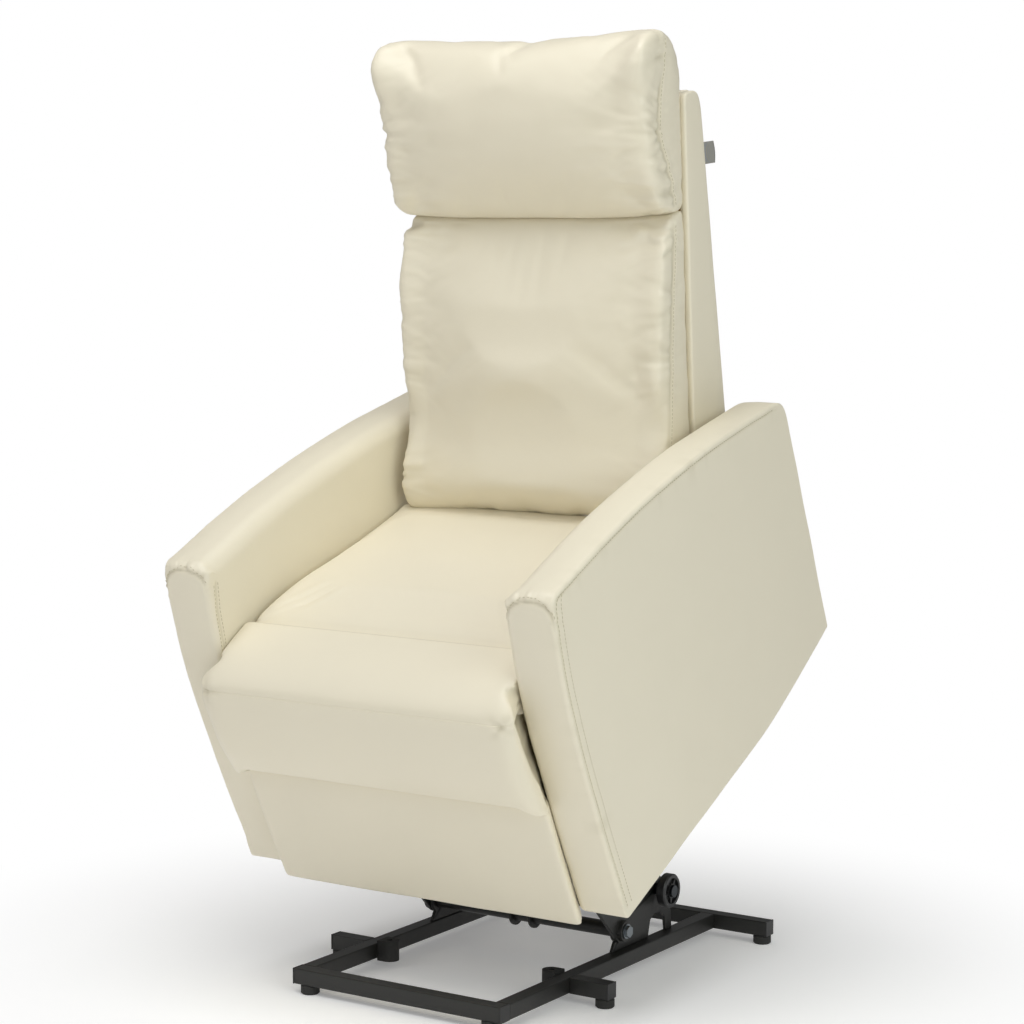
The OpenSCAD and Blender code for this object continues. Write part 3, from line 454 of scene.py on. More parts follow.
def pleated(piece, seam, sign, places, seed):
    """Gathers in the leather beside an upright seam of the back, a list of (across, up). places gives each
    bunch of pleats its height on the seam, its depth, the pleats' pitch, how far they reach from the seam and
    their spread, all in mm."""
    fan, at_seam, behind_share, least_share = 70, 3.5, 0.35, 0.03
    co, n = points_of(piece), normals_of(piece)
    x, q, p = to_back(co).T
    seam_q = np.interp(p, [b for _, b in seam], [a for a, _ in seam])
    away = np.hypot(BACK_HALF - sign * x, q - seam_q)
    push, shade_paint = np.zeros(len(co)), np.zeros(len(co))
    for number, (centre, depth, pitch, reach, spread) in enumerate(places):
        # The pleats fan out from the seam, and are weaker behind it
        up = (p - centre) / (1 + away / fan)
        share = np.exp(-away / reach) * (1 - np.exp(-(away / at_seam) ** 2)) * np.exp(-(up / spread) ** 2)
        share *= np.where(q > seam_q, behind_share, 1)
        for k in np.nonzero(share > least_share)[0]:
            spot = Vector((up[k] / pitch, seed + 3.1 * number, away[k] / 60))
            wave = noise.noise(spot) + 0.5 * noise.noise(spot * 2.1)
            push[k] += 2.2 * depth * wave * share[k]
            # Painted shade in the pleats' hollows
            shade_paint[k] = max(shade_paint[k], 1.1 * max(0.0, -wave) * share[k])
    set_points(piece, co + n * (push * MM)[:, None])
    mark(piece, shade_paint)


def dented(piece, centre, depth, size, folds, seed):
    """A pinch in the leather, with folds that run out from it. depth and size are in mm."""
    fold_share, fold_shade = 0.35, 0.5
    co, n = points_of(piece), normals_of(piece)
    c = np.asarray(centre, float).reshape(3)
    off = (co - c) / MM
    d = np.linalg.norm(off, axis=1)
    near = d < 3 * size
    flat = off - n * np.sum(off * n, axis=1)[:, None]
    axis_a = np.array([1.0, 0, 0]) if abs(n[np.argmin(d)][0]) < 0.8 else np.array([0, 1.0, 0])
    axis_b = np.cross(n[np.argmin(d)], axis_a)
    turn = np.arctan2(flat @ axis_b, flat @ axis_a)
    fold = np.sin(folds * turn + seed) * np.exp(-((d - 0.8 * size) / (0.9 * size)) ** 2)
    pit = np.exp(-(d / (0.45 * size)) ** 2)
    push = np.where(near, -depth * pit + fold_share * depth * fold * (1 - pit), 0)
    set_points(piece, co + n * (push * MM)[:, None])
    # Painted shade in the pit and in the folds' hollows
    mark(piece, np.where(near, np.maximum(pit, fold_shade * np.maximum(0, -fold)), 0))


def thread(name, piece, paths, material, pitch):
    """Stitches of thread that lie on the piece along paths of points in metres, one to each pitch in mm."""
    mesh = piece.data
    tree = BVHTree.FromPolygons([tuple(v.co) for v in mesh.vertices],
                                [tuple(p.vertices) for p in mesh.polygons])
    length, radius, around, proud_share, farthest = 4.4, 0.42, 5, 0.25, 0.03
    # Places along a stitch and the thread's radius there, as shares of its length and radius
    rings = [(-0.5, 0.35), (-0.36, 1.0), (0.36, 1.0), (0.5, 0.35)]
    points, faces = [], []
    for path in paths:
        line = resampled(np.asarray(path), pitch * MM, closed=False)
        for k in range(len(line) - 1):
            a, b = Vector(line[k]), Vector(line[k + 1])
            t = (b - a).normalized()
            hit, n, _, far = tree.find_nearest((a + b) / 2)
            if hit is None or far > farthest:
                continue
            t = (t - n * t.dot(n)).normalized()
            side = t.cross(n)
            first = len(points)
            for at, r in rings:
                for j in range(around):
                    turn = 2 * math.pi * j / around
                    points.append(hit + t * (at * length * MM)
                                  + n * ((proud_share + r * math.sin(turn)) * radius * MM)
                                  + side * (math.cos(turn) * r * radius * MM))
            for r in range(len(rings) - 1):
                for j in range(around):
                    m = (j + 1) % around
                    faces.append((first + r * around + j, first + r * around + m,
                                  first + (r + 1) * around + m, first + (r + 1) * around + j))
            faces.append(tuple(first + j for j in range(around))[::-1])
            faces.append(tuple(first + (len(rings) - 1) * around + j for j in range(around)))
    return mesh_piece(name, [tuple(p) for p in points], faces, material)


# Materials
def linear(code, alpha=1.0):
    """sRGB hex to the linear colour that Blender's sockets take."""
    parts = [int(code[k:k + 2], 16) / 255 for k in (1, 3, 5)]
    return tuple(c / 12.92 if c <= 0.04045 else ((c + 0.055) / 1.055) ** 2.4 for c in parts) + (alpha,)


class Shader:
    """A material with one Principled shader, whose nodes are added one by one."""

    def __init__(self, name, **sockets):
        self.material = bpy.data.materials.new(name)
        self.material.use_nodes = True
        self.tree = self.material.node_tree
        self.base = self.tree.nodes["Principled BSDF"]
        for socket, value in sockets.items():
            self.base.inputs[socket.replace("_", " ")].default_value = value

    def add(self, kind, inputs=None, **settings):
        """Adds a node with its settings. inputs gives each socket a value or another node's output."""
        made = self.tree.nodes.new("ShaderNode" + kind)
        for key, value in settings.items():
            setattr(made, key, value)
        for key, value in (inputs or {}).items():
            if isinstance(value, bpy.types.NodeSocket):
                self.tree.links.new(value, made.inputs[key])
            else:
                made.inputs[key].default_value = value
        return made

    def to_base(self, socket, output):
        self.tree.links.new(output, self.base.inputs[socket])

    def texture(self, kind, size, **inputs):
        """A pattern whose marks are about size mm wide."""
        where = self.add("TexCoord").outputs["Object"]
        return self.add("Tex" + kind, {"Vector": where, "Scale": 1 / (size * MM), **inputs})

    def ramp(self, factor, low, high):
        """Maps 0..1 to low..high."""
        return self.add("MapRange", {"Value": factor, "To Min": low, "To Max": high}).outputs["Result"]

    def mixed(self, factor, a, b):
        made = self.add("Mix", data_type="RGBA")
        for socket, value in ((made.inputs[0], factor), (made.inputs[6], a), (made.inputs[7], b)):
            if isinstance(value, bpy.types.NodeSocket):
                self.tree.links.new(value, socket)
            else:
                socket.default_value = value
        return made.outputs[2]

    def bump(self, height, strength, distance, under=None):
        inputs = {"Height": height, "Strength": strength, "Distance": distance}
        if under is not None:
            inputs["Normal"] = under
        return self.add("Bump", inputs).outputs["Normal"]


def leather_material(name, code):
    """Coated leather: a soft hide under a thin sprayed and embossed film. The film gives a broad, low sheen
    that drifts a little from place to place, as the hide's tone does. Seams, folds and the gaps between
    pieces get painted shade."""
    s = Shader(name, IOR=1.5, Coat_Weight=0.12, Coat_Roughness=0.32)
    drift, pebble, crinkle_size, darker_share = 142.86, 1.25, 16.667, 0.93
    cloud = s.texture("Noise", drift, Detail=3.0).outputs["Fac"]
    darker = tuple(darker_share * c for c in linear(code)[:3]) + (1,)
    tone = s.mixed(s.ramp(cloud, 0.0, 0.55), linear(code), darker)
    # Painted shade: the point attribute stored by mark() darkens the colour towards #a89d79 in seams, folds
    # and gaps
    fold = s.add("Attribute", attribute_name="painted_shade").outputs["Fac"]
    s.to_base("Base Color", s.mixed(s.ramp(fold, 0.0, 0.5), tone, linear("#a89d79")))
    s.to_base("Roughness", s.ramp(cloud, 0.40, 0.52))
    grain = s.texture("Voronoi", pebble, Randomness=1.0).outputs["Distance"]
    crinkle = s.texture("Noise", crinkle_size, Detail=4.0).outputs["Fac"]
    s.to_base("Normal", s.bump(grain, 0.16, 0.0003, s.bump(crinkle, 0.12, 0.0012)))
    return s.material


def powder_material(name, code):
    """Powder coat on welded steel tube: a thick satin film whose fine orange peel breaks up the sheen."""
    s = Shader(name, IOR=1.5)
    peel_size, worn_size = 2.381, 111.11
    peel = s.texture("Noise", peel_size, Detail=2.0).outputs["Fac"]
    worn = s.texture("Noise", worn_size, Detail=4.0).outputs["Fac"]
    s.to_base("Base Color", s.mixed(s.ramp(worn, 0.0, 0.5), linear(code), linear("#2c2c2a")))
    s.to_base("Roughness", s.ramp(worn, 0.36, 0.5))
    s.to_base("Normal", s.bump(peel, 0.35, 0.0003))
    return s.material


def zinc_material(name, code, rough=0.3, cloudy="#8c9297"):
    """Plated steel: electroplate with a faint blue passivation, clouded by fine handling marks."""
    s = Shader(name, Metallic=1.0)
    marks = 8.333
    cloud = s.texture("Noise", marks, Detail=5.0).outputs["Fac"]
    s.to_base("Base Color", s.mixed(cloud, linear(code), linear(cloudy)))
    s.to_base("Roughness", s.ramp(cloud, rough - 0.06, rough + 0.1))
    s.to_base("Normal", s.bump(cloud, 0.05, 0.0001))
    return s.material


def plastic_material(name, code, rough=0.42):
    """Injection-moulded nylon: the mould's fine spark texture gives a dull, even sheen. Its pits are drawn
    several times as coarse as they are, so that they show."""
    s = Shader(name, IOR=1.53)
    pit, drift_size = 0.6667, 33.333
    spark = s.texture("Noise", pit, Detail=2.0).outputs["Fac"]
    drift = s.texture("Noise", drift_size, Detail=2.0).outputs["Fac"]
    s.to_base("Base Color", s.mixed(s.ramp(drift, 0, 0.4), linear(code), linear("#2b2b2c")))
    s.to_base("Roughness", s.ramp(spark, rough - 0.05, rough + 0.08))
    s.to_base("Normal", s.bump(spark, 0.2, 0.0001))
    return s.material


def rubber_material(name, code):
    """Moulded rubber: matt, with a greyish bloom that lies unevenly. Black lining cloth is as matt, and its
    dust lies in the same way."""
    s = Shader(name, IOR=1.52)
    patch = 22.222
    bloom = s.texture("Noise", patch, Detail=5.0).outputs["Fac"]
    s.to_base("Base Color", s.mixed(s.ramp(bloom, 0, 0.5), linear(code), linear("#3a3a38")))
    s.to_base("Roughness", s.ramp(bloom, 0.62, 0.8))
    s.to_base("Normal", s.bump(bloom, 0.15, 0.0003))
    return s.material


def wood_material(name, code):
    """Sawn softwood and plywood: growth rings run as long streaks, a little darker and rougher."""
    s = Shader(name, IOR=1.5)
    streak, ring_gap = 166.67, 8.333
    where = s.add("TexCoord").outputs["Object"]
    stretch = (1 / (streak * MM), 1 / (ring_gap * MM), 1 / (ring_gap * MM))
    drawn = s.add("Mapping", {"Vector": where, "Scale": stretch}).outputs["Vector"]
    rings = s.add("TexNoise", {"Vector": drawn, "Scale": 1.0, "Detail": 6.0}).outputs["Fac"]
    s.to_base("Base Color", s.mixed(rings, linear(code), linear("#a47c47")))
    s.to_base("Roughness", s.ramp(rings, 0.55, 0.75))
    s.to_base("Normal", s.bump(rings, 0.25, 0.0004))
    return s.material


def thread_material(name, code):
    """Twisted polyester thread, set darker than the hide, partly its own colour and partly painted shade
    along the stitches, with the twist as fine slanting lines. A woven tape of the same yarn looks alike from
    afar."""
    s = Shader(name, Roughness=0.6, IOR=1.5)
    # The wave texture draws this many bands over its own size
    twist_pitch, bands = 0.349, 20 / (2 * math.pi)
    twist = s.texture("Wave", twist_pitch * bands, Distortion=2.0).outputs["Fac"]
    s.to_base("Base Color", s.mixed(s.ramp(twist, 0, 0.5), linear(code), linear("#a69b79")))
    s.to_base("Normal", s.bump(twist, 0.3, 0.0001))
    return s.material


class RECLINER_PG_looks(bpy.types.PropertyGroup):
    """Sizes and colours of the looks."""

    hide: bpy.props.StringProperty(
        name="Leather", description="sRGB colour of the leather", default="#ede5cf")
    paint: bpy.props.StringProperty(
        name="Paint", description="sRGB colour of the powder coat", default="#1d1d1b")
    plate: bpy.props.StringProperty(
        name="Zinc", description="sRGB colour of the zinc plate", default="#80868b")
    link_plate: bpy.props.StringProperty(
        name="Link zinc", description="sRGB colour of the plated links", default="#8f959b")
    nylon: bpy.props.StringProperty(
        name="Nylon", description="sRGB colour of the moulded parts", default="#19191a")
    rubber: bpy.props.StringProperty(
        name="Rubber", description="sRGB colour of the rubber", default="#1c1c1b")
    wood: bpy.props.StringProperty(name="Wood", description="sRGB colour of the wood", default="#c9a66b")
    # The thread's colour is darker than the hide: partly its own colour, partly painted shade along the
    # stitches
    yarn: bpy.props.StringProperty(name="Thread", description="sRGB colour of the thread", default="#b9ae8c")
    tag: bpy.props.StringProperty(name="Tag", description="sRGB colour of the plain tag", default="#8d8f92")
    seam_depth: bpy.props.FloatProperty(
        name="Seam depth", description="Depth of a seam's groove", default=0.0018, min=0, subtype="DISTANCE",
        unit="LENGTH")
    stitch_pitch: bpy.props.FloatProperty(
        name="Stitch pitch", description="Distance from one stitch to the next", default=0.0064, min=0.002,
        subtype="DISTANCE", unit="LENGTH")
    voxel: bpy.props.FloatProperty(
        name="Voxel", description="Size of the cushions' remesh", default=0.006, min=0.003,
        subtype="DISTANCE", unit="LENGTH")
    pressure: bpy.props.FloatProperty(
        name="Pressure", description="Pressure of the filling in the cushions", default=4.0, min=0)


MATERIALS = {}


def materials(looks):
    """Makes the materials at the first call and returns them by name."""
    if not MATERIALS:
        MATERIALS.update({
            "leather": leather_material("ivory_coated_leather", looks.hide),
            "paint": powder_material("black_powder_coat", looks.paint),
            "zinc": zinc_material("zinc_plate", looks.plate),
            "dark_zinc": zinc_material("black_zinc_plate", "#34373a", 0.3, "#42464a"),
            "links": zinc_material("plated_links", looks.link_plate, 0.38),
            "chrome": zinc_material("ground_chromed_rod", "#d9dcdf", 0.16),
            "nylon": plastic_material("moulded_nylon", looks.nylon),
            "housing": plastic_material("actuator_housing_plastic", "#2a2a2c", 0.48),
            "rubber": rubber_material("moulded_rubber", looks.rubber),
            "wood": wood_material("sawn_wood", looks.wood),
            "lining": rubber_material("black_lining_cloth", "#121212"),
            "wire": zinc_material("spring_wire", "#8a8d91", 0.34),
            "thread": thread_material("sewing_thread", looks.yarn),
            "tag": thread_material("woven_tag", looks.tag),
        })
    return MATERIALS


FINISHES = {
    "paint": ("base_front_bar", "base_side_bar_left", "base_side_bar_right", "base_rear_bar",
              "base_outriggers", "base_bracket_left", "base_bracket_right", "motor_clevis", "lift_arm_left",
              "lift_arm_right", "lift_crank", "rear_link_left", "rear_link_right", "lift_plate_left",
              "lift_plate_right", "side_plate_left", "side_plate_right", "legrest_brackets",
              "back_hinge_brackets", "seat_cross_tubes", "lift_shaft"),
    "dark_zinc": ("bracket_bolts",),
    "zinc": ("shaft_bolts", "motor_clevis_pin", "crank_pin", "rear_link_pins", "lift_pins"),
    "links": ("leg_links_long", "leg_links_front", "leg_links_lower", "leg_links_upper", "leg_drive_bar"),
    "chrome": ("actuator_rod",),
    "nylon": ("base_end_plugs", "bracket_roller_left", "bracket_roller_right"),
    "housing": ("actuator_housing", "actuator_motor", "actuator_tube"),
    "rubber": ("base_feet", "rest_blocks"),
    "wood": ("seat_rear_rail", "back_stiles", "back_rails"),
    "lining": ("seat_side_rails", "seat_front_rail", "legrest_board"),
    "wire": ("seat_springs", "back_springs"),
    "leather": ("arm_left", "arm_right", "seat_cushion", "front_roll", "legrest_pad", "legrest_panel",
                "back_side_panels", "back_rear_panel", "back_cushion", "head_pillow"),
}


class Builder(bpy.types.Operator):
    """Shared steps of the operators."""

    bl_idname = "recliner.builder"
    bl_label = "Recliner step"

    def execute(self, context):
        """Runs the step and says so."""
        self.build(context.scene.recliner_looks, materials(context.scene.recliner_looks))
        return {"FINISHED"}

    def build(self, looks, mats):
        raise RuntimeError("this step builds nothing by itself")


class RECLINER_OT_finishes(Builder):
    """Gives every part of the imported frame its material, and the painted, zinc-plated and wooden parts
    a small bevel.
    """

    bl_idname = "recliner.finishes"
    bl_label = "Frame finishes"

    # Finishes whose edges are bevelled, the bevels' widths, the least angle of such an edge, and how near two
    # points are joined before it
    bevelled = ("paint", "zinc", "dark_zinc", "links", "wood")
    tube_bevel, plate_bevel, sharp, joined = 1.6, 0.7, math.radians(40), 0.02

    def build(self, looks, mats):
        left = set(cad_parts)
        for kind, names in FINISHES.items():
            for name in names:
                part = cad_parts[name]
                part.data.materials.clear()
                part.data.materials.append(mats[kind])
                left.discard(name)
                if kind in self.bevelled:
                    tube = name.startswith(("base", "seat_cross"))
                    weld = part.modifiers.new("weld", "WELD")
                    weld.merge_threshold = self.joined * MM
                    bevel = part.modifiers.new("bevel", "BEVEL")
                    bevel.width = (self.tube_bevel if tube else self.plate_bevel) * MM
                    bevel.segments, bevel.limit_method, bevel.angle_limit = 2, "ANGLE", self.sharp
                    bevel.harden_normals = False
        if left:
            raise RuntimeError(f"no finish for {sorted(left)}")


class RECLINER_OT_arms(Builder):
    """Builds both upholstered arms with their seams, gathers and stitching."""

    bl_idname = "recliner.arms"
    bl_label = "Arms"

    # From the chair's middle to the inner face, and from there to the outer face
    inner, thickness = 270.0, 84.0
    inner_round_top, inner_round_front, outer_round = 30.0, 12.0, 6.5
    side_bow, crisp_share = 1.6, 0.7
    # The seams' width, the depth of the top and inner ones as shares of the usual depth, and the outer one's,
    # whose groove the rings already hold
    seam_width, top_share, inner_share, outer_depth = 2.2, 0.9, 0.7, 0.1
    # How far the flat inner face's rings lie inside its rounded edge
    inner_insets = (13.5, 11, 9, 7, 5.2, 3.5, 2, 0.8)
    # The outer face's rings inside its edge, and their dip as a share of the seam's depth
    outer_dips = ((1.0, 0.25), (2.0, 0.5), (3.0, 0.25), (4.5, 0.0), (7.0, -0.1), (10.0, -0.15),
                  (14.0, -0.15), (19.0, -0.15), (25.0, -0.1))
    # The front panel's top seam, outward from the inner face and up. It lies on the arm's front, which leans
    # forward below the upper corner
    arch = ((0.5, 534), (3, 546), (9, 556), (19, 563), (32, 567), (46, 568), (60, 566.5), (71, 562),
            (79, 553), (83, 541), (83.6, 530))
    front_corner, front_slope = (-313.2, 576), 0.295
    # The front panel's seam down the inner face
    inner_seam = ((-303, 540), (-317, 500), (-330, 440), (-336, 380), (-339, 300), (-339, 200), (-337, 100),
                  (-334, 40))

    def build(self, looks, mats):
        for side, sign in (("right", 1), ("left", -1)):
            self.arm(looks, mats, side, sign)

    def rings(self, shape, depth):
        """The arm's cross sections from the inner to the outer face, each as places across and insets."""
        y, z = shape.at(0).T
        # 1 on the front face, 0 on the top, rear and bottom
        front = np.clip((-286 - y) / 24, 0, 1) * np.clip((580 - z) / 14, 0, 1)
        r = self.inner_round_top + (self.inner_round_front - self.inner_round_top) * front
        rings = [(0 * r, r + inset) for inset in self.inner_insets]
        for a in np.linspace(0, math.pi / 2, 10):
            rings.append((r * (1 - math.cos(a)), r * (1 - math.sin(a))))
        # The rear and bottom edges are crisp and have no seam
        crisp = np.maximum(soft_step(y, 385, 400), soft_step(-z, -75, -55))
        edge = self.outer_round * (1 - self.crisp_share * crisp)
        for t in np.linspace(0, 1, 24)[1:-1]:
            bow = -self.side_bow * math.sin(math.pi * t) * (1 - crisp)
            rings.append((r + (self.thickness - edge - r) * t, bow))
        for a in np.linspace(math.pi / 2, 0, 8):
            rings.append((self.thickness - edge * (1 - math.cos(a)), edge * (1 - math.sin(a))))
        for inset, dip in self.outer_dips:
            rings.append((self.thickness - dip * depth * (1 - crisp), edge + inset))
        return rings

    def arm(self, looks, mats, side, sign):
        shape, depth = Outline(ARM, 3.2), looks.seam_depth / MM
        rings = [np.column_stack([x, shape.at(inset)]) for x, inset in self.rings(shape, depth)]
        points, faces = capped(rings, tube_faces(len(rings), shape.around).tolist(), 14.0)
        points[:, 0] = sign * (self.inner + points[:, 0])
        arm = mesh_piece("upholstered_arm_" + side, from_chair(points), faces, mats["leather"])
        x_in, x_out = sign * self.inner, sign * (self.inner + self.thickness)
        corner_y, corner_z = self.front_corner
        top = [(x_in + sign * u, corner_y - self.front_slope * (corner_z - z), z) for u, z in self.arch]
        inner = [(x_in, y, z) for y, z in self.inner_seam]
        outer = [(x_out, y, z) for y, z in self.edge_line(shape.at(self.outer_round + 2.0))]
        # The top seam's gathers lie behind it
        up = from_chair([(0, 100, 60)])[0] - from_chair([(0, 0, 0)])[0]
        width = self.seam_width
        sewn(arm, from_chair(top), self.top_share * depth, width, pleats=3.6, pitch=11, reach=11,
             seed=3 + sign, toward=up)
        sewn(arm, from_chair(inner), self.inner_share * depth, width, pleats=0.6, pitch=30, reach=9,
             seed=9 + sign, shade=0.6)
        sewn(arm, from_chair(outer), self.outer_depth, width, pleats=0.5, pitch=34, reach=12, seed=5 + sign,
             shade=0.35)
        wavy(arm, 0.9, 90, 2 + sign)
        front_edge = [p for p in outer if p[1] < -300]
        long_edge = [p for p in outer if p[1] >= -300 and p[2] > 440]
        behind = [(x, y + 5.0, z + 3.0) for x, y, z in top[1:-1]]
        rows = [self.shifted(front_edge, 1.5), self.shifted(front_edge, 14.0), self.shifted(inner, -5.0),
                self.shifted(inner, 5.0), behind, long_edge]
        seams = thread("arm_thread_" + side, arm, [from_chair(row) for row in rows], mats["thread"],
                       looks.stitch_pitch / MM)
        for piece in (arm, seams):
            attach(piece, "chair")
        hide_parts("arm_" + side)

    def edge_line(self, line):
        """The seam round the outer face, as a line from the lower front up and over to the rear."""
        start = int(np.argmin(line[:, 0] + 2 * line[:, 1]))
        line = np.roll(line, -start, 0)
        line = line if line[8][1] > line[0][1] + 10 else np.roll(line[::-1], 1, 0)
        last = int(np.argmax(line[:, 0] > 378))
        return [tuple(p) for p in line[:last] if p[1] > 45]

    def shifted(self, line, by):
        """The line moved to the rear by so many mm."""
        return [(x, y + by, z) for x, y, z in line]


def soft_loft(name, outline, middle, half_width, edge, draw, place, mats, crown=0, spacing=9.0, shrink=0.0,
              facing=(0, 1), crown_power=2.0, drawn=None):
    """A padded body. The outline runs from side to side and is drawn in by draw over the last edge mm of both
    ends. It swells by crown towards facing, and place turns its points to the rest pose. drawn says in
    another way how the outline moves at the ends. Cloth that is to be blown up starts smaller, by shrink."""
    shrink = shrink
    line = Outline(outline, spacing).ring(0) if drawn else resampled(eased(outline, 8), spacing)
    out, around = outward(line), len(line)
    line = line - out * shrink
    mid, face = np.array(middle, float), np.array(facing, float)
    hw = half_width - shrink
    flat = np.linspace(-(hw - edge), hw - edge, int(2 * (hw - edge) / spacing))
    ends = [(-hw + edge * (1 - math.sin(a)), draw * (1 - math.cos(a)))
            for a in np.linspace(math.pi / 2, 0, 8)]
    stations = ends + [(x, 0.0) for x in flat[1:-1]] + [(-x, d) for x, d in ends[::-1]]
    points = []
    toward = line - mid
    toward /= np.linalg.norm(toward, axis=1)[:, None]
    lift = np.maximum(0, toward @ face)
    for x, d in stations:
        swell = crown * max(0.0, 1 - abs(x / hw) ** crown_power)
        moved = drawn(line, d) if drawn else line - out * d
        ring = moved + np.outer(lift * swell, face)
        points.append(np.column_stack([np.full(around, x), ring]))
    faces = tube_faces(len(stations), around).tolist()
    i = np.arange(around)
    for ring in (0, len(stations) - 1):
        inner = mid + (points[ring][:, 1:] - mid) * 0.5
        points.append(np.column_stack([points[ring][:, 0], inner]))
        first = sum(len(p) for p in points[:-1])
        faces += np.stack([ring * around + i, ring * around + (i + 1) % around, first + (i + 1) % around,
                           first + i], 1).tolist()
        points.append(np.array([[points[ring][0, 0], *mid]]))
        faces += np.stack([first + i, first + (i + 1) % around, np.full(around, first + around)], 1).tolist()
    return mesh_piece(name, place(np.vstack(points)), faces, mats["leather"])


def near_line(local, line, width):
    """True where a point's side view lies within width of an open line, in mm."""
    pts = resampled(np.asarray(line, float), 3.0, closed=False)
    d = np.min(np.linalg.norm(local[:, None, 1:] - pts[None], axis=2), axis=1)
    return d < width


class RECLINER_OT_back_cushions(Builder):
    """Builds the back cushion and the head pillow, blown up as cloth and then sewn."""

    bl_idname = "recliner.back_cushions"
    bl_label = "Back cushions"

    sag = 7.0
    # Places of the seams and their threads from the chair's middle, where the cloth begins to be held beside
    # them, and how far the threads lie behind the seams
    seam_x, thread_x, held_x = 252, BACK_HALF, 236
    thread_behind, seam_width, seam_reach = 5, 3.0, 16
    # The side seams in front of the frame's edge, up the cushion and up the pillow
    cushion_seam = [(-62, 26), (-52, 80), (-40, 140), (-21, 232), (3, 355), (20, 430), (29, 468)]
    pillow_seam = [(34, 497), (29, 531), (20, 571), (10, 595), (6.5, 619), (13, 660), (19, 694), (26, 732),
                   (34, 756)]
    # Bunches of pleats: height on the seam, depth, pitch, reach and spread
    cushion_bunches = ((466, 5.2, 13, 60, 34), (350, 2.2, 13, 60, 40), (255, 2.2, 15, 60, 36),
                       (68, 3.6, 12, 40, 26))
    pillow_bunches = ((622, 4.8, 13, 75, 36), (512, 4.6, 13, 60, 30), (560, 2.4, 13, 50, 30),
                      (742, 3.4, 10, 30, 18))
    # Pinches: from the middle, across, up, depth, size, folds and seed
    cushion_dents = ((250, -62, 68, 4.5, 12, 5, 0),)
    pillow_dents = ((250, 4, 617, 3.6, 9, 3, 2), (246, 24, 752, 4.0, 10, 5, 4))

    def build(self, looks, mats):
        self.cushion(looks, mats)
        self.pillow(looks, mats)

    def drawn(self, line, d):
        """The ends draw in at the front and the far ends, and stay whole at the frame and where they meet."""
        q, p = line.T
        q = q + d * (1 - soft_step(q, back_line(p) - 52, back_line(p) - 22))
        p = p - 0.8 * d * soft_step(p, 735, 770) + 0.5 * d * soft_step(-p, -30, -5)
        p = p - 0.25 * d * np.where(p > MEET, -1, 1) * np.exp(-((p - MEET) / 12) ** 2)
        return np.stack([q, p], 1)

    def blank(self, name, outline, middle, crown, shrink, looks, mats):
        """The plain padded body, remeshed for the cloth."""
        piece = soft_loft(name, outline, middle, BACK_HALF, 13, 6, from_back, mats, crown=crown,
                          shrink=shrink, facing=(-1, 0), crown_power=2.2, drawn=self.drawn)
        remeshed(piece, looks.voxel / MM)
        relaxed(piece, 4)
        return piece

    def beside(self, local, seam):
        """True for the points at the side seam."""
        return near_line(local, seam, 5) & (np.abs(local[:, 0]) > self.held_x)

    def soften(self, looks, piece, held, seam, above):
        """Blows the piece up and gives it its fullness. above is true for the pillow, which lies above."""
        inflated(piece, held.astype(float), looks.pressure, cap=18, slack=0.006)
        relaxed(piece, 7)
        x, q, p = to_back(points_of(piece)).T
        widest, over_share = 257, 0.8
        over = np.abs(x) - widest
        x = x - np.sign(x) * np.where(over > 0, over * over_share, 0)
        # What the smaller start left open closes again against the frame and the neighbours
        loose = 1.0
        frame_side = back_line(p)
        q = q + 4.0 * loose * soft_step(q, frame_side - 34, frame_side - 8)
        if above:
            p = p - 5.0 * loose * soft_step(-p, -540, -495)
            p = p + 6.0 * loose * (1 - np.clip(x / BACK_HALF, -1, 1) ** 2) * soft_step(p, 690, 765)
            # The pillow spreads above the frame
            spread = soft_step(p, 648, 735)
            x = x * (1 + 0.03 * spread)
            q = q - 7.0 * spread * soft_step(-q, -40, 10) * soft_step(np.abs(x), 150, 240)
        else:
            p = p + 4.5 * loose * soft_step(p, 430, 480) - (5.5 + 4.0 * loose) * soft_step(-p, -60, -10)
        # The filling stands full right up to the side seams
        seam_q = np.interp(p, [b for _, b in seam], [a for a, _ in seam])
        full = soft_step(seam_q - q, 2, 16) * soft_step(np.abs(x), 195, 250)
        q = q - full * (8.5 + 5 * np.exp(-((p - 190) / 90) ** 2) + 3 * soft_step(p, 680, 740))
        x = x * (1 + 0.008 * full)
        # Both hang a little where they meet
        middle_share = 1 - np.abs(np.clip(x / BACK_HALF, -1, 1)) ** 5
        p = p - self.sag * middle_share * np.exp(-((p - MEET) / 50) ** 2)
        set_points(piece, from_back(np.stack([x, q, p], 1)))
        subdivided(piece)

    def gathered(self, looks, piece, seam, pleats, pitch, bunches, dents, seed):
        """Sews the side seams, with their pleats, bunches and pinches."""
        for sign in (1, -1):
            path = from_back([(sign * self.seam_x, q, p) for q, p in seam])
            sewn(piece, path, looks.seam_depth / MM, self.seam_width, pleats, pitch, self.seam_reach,
                 seed + sign)
            pleated(piece, seam, sign, bunches, seed + 20 + sign)
            for x, q, p, depth, size, folds, first in dents:
                dented(piece, from_back([(sign * x, q, p)]), depth, size, folds, first + sign)

    def stitched(self, name, looks, piece, seam, mats):
        """The stitches that run behind both side seams."""
        rows = [from_back([(sign * self.thread_x, q + self.thread_behind, p) for q, p in seam])
                for sign in (1, -1)]
        return thread(name, piece, rows, mats["thread"], looks.stitch_pitch / MM)

    def cushion(self, looks, mats):
        piece = self.blank("back_cushion_cover", CUSHION, (-7, 240), 26, 2.0, looks, mats)
        local, seam = to_back(points_of(piece)), self.cushion_seam
        _, q, p = local.T
        held = (q > back_line(p) - 12) | self.beside(local, seam) | (p > 476) & (q > 18)
        self.soften(looks, piece, held, seam, above=False)
        self.gathered(looks, piece, seam, 1.2, 24, self.cushion_bunches, self.cushion_dents, 11)
        wavy(piece, 1.2, 120, 4)
        seams = self.stitched("back_cushion_thread", looks, piece, seam, mats)
        for part in (piece, seams):
            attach(part, "back")
        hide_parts("back_cushion")

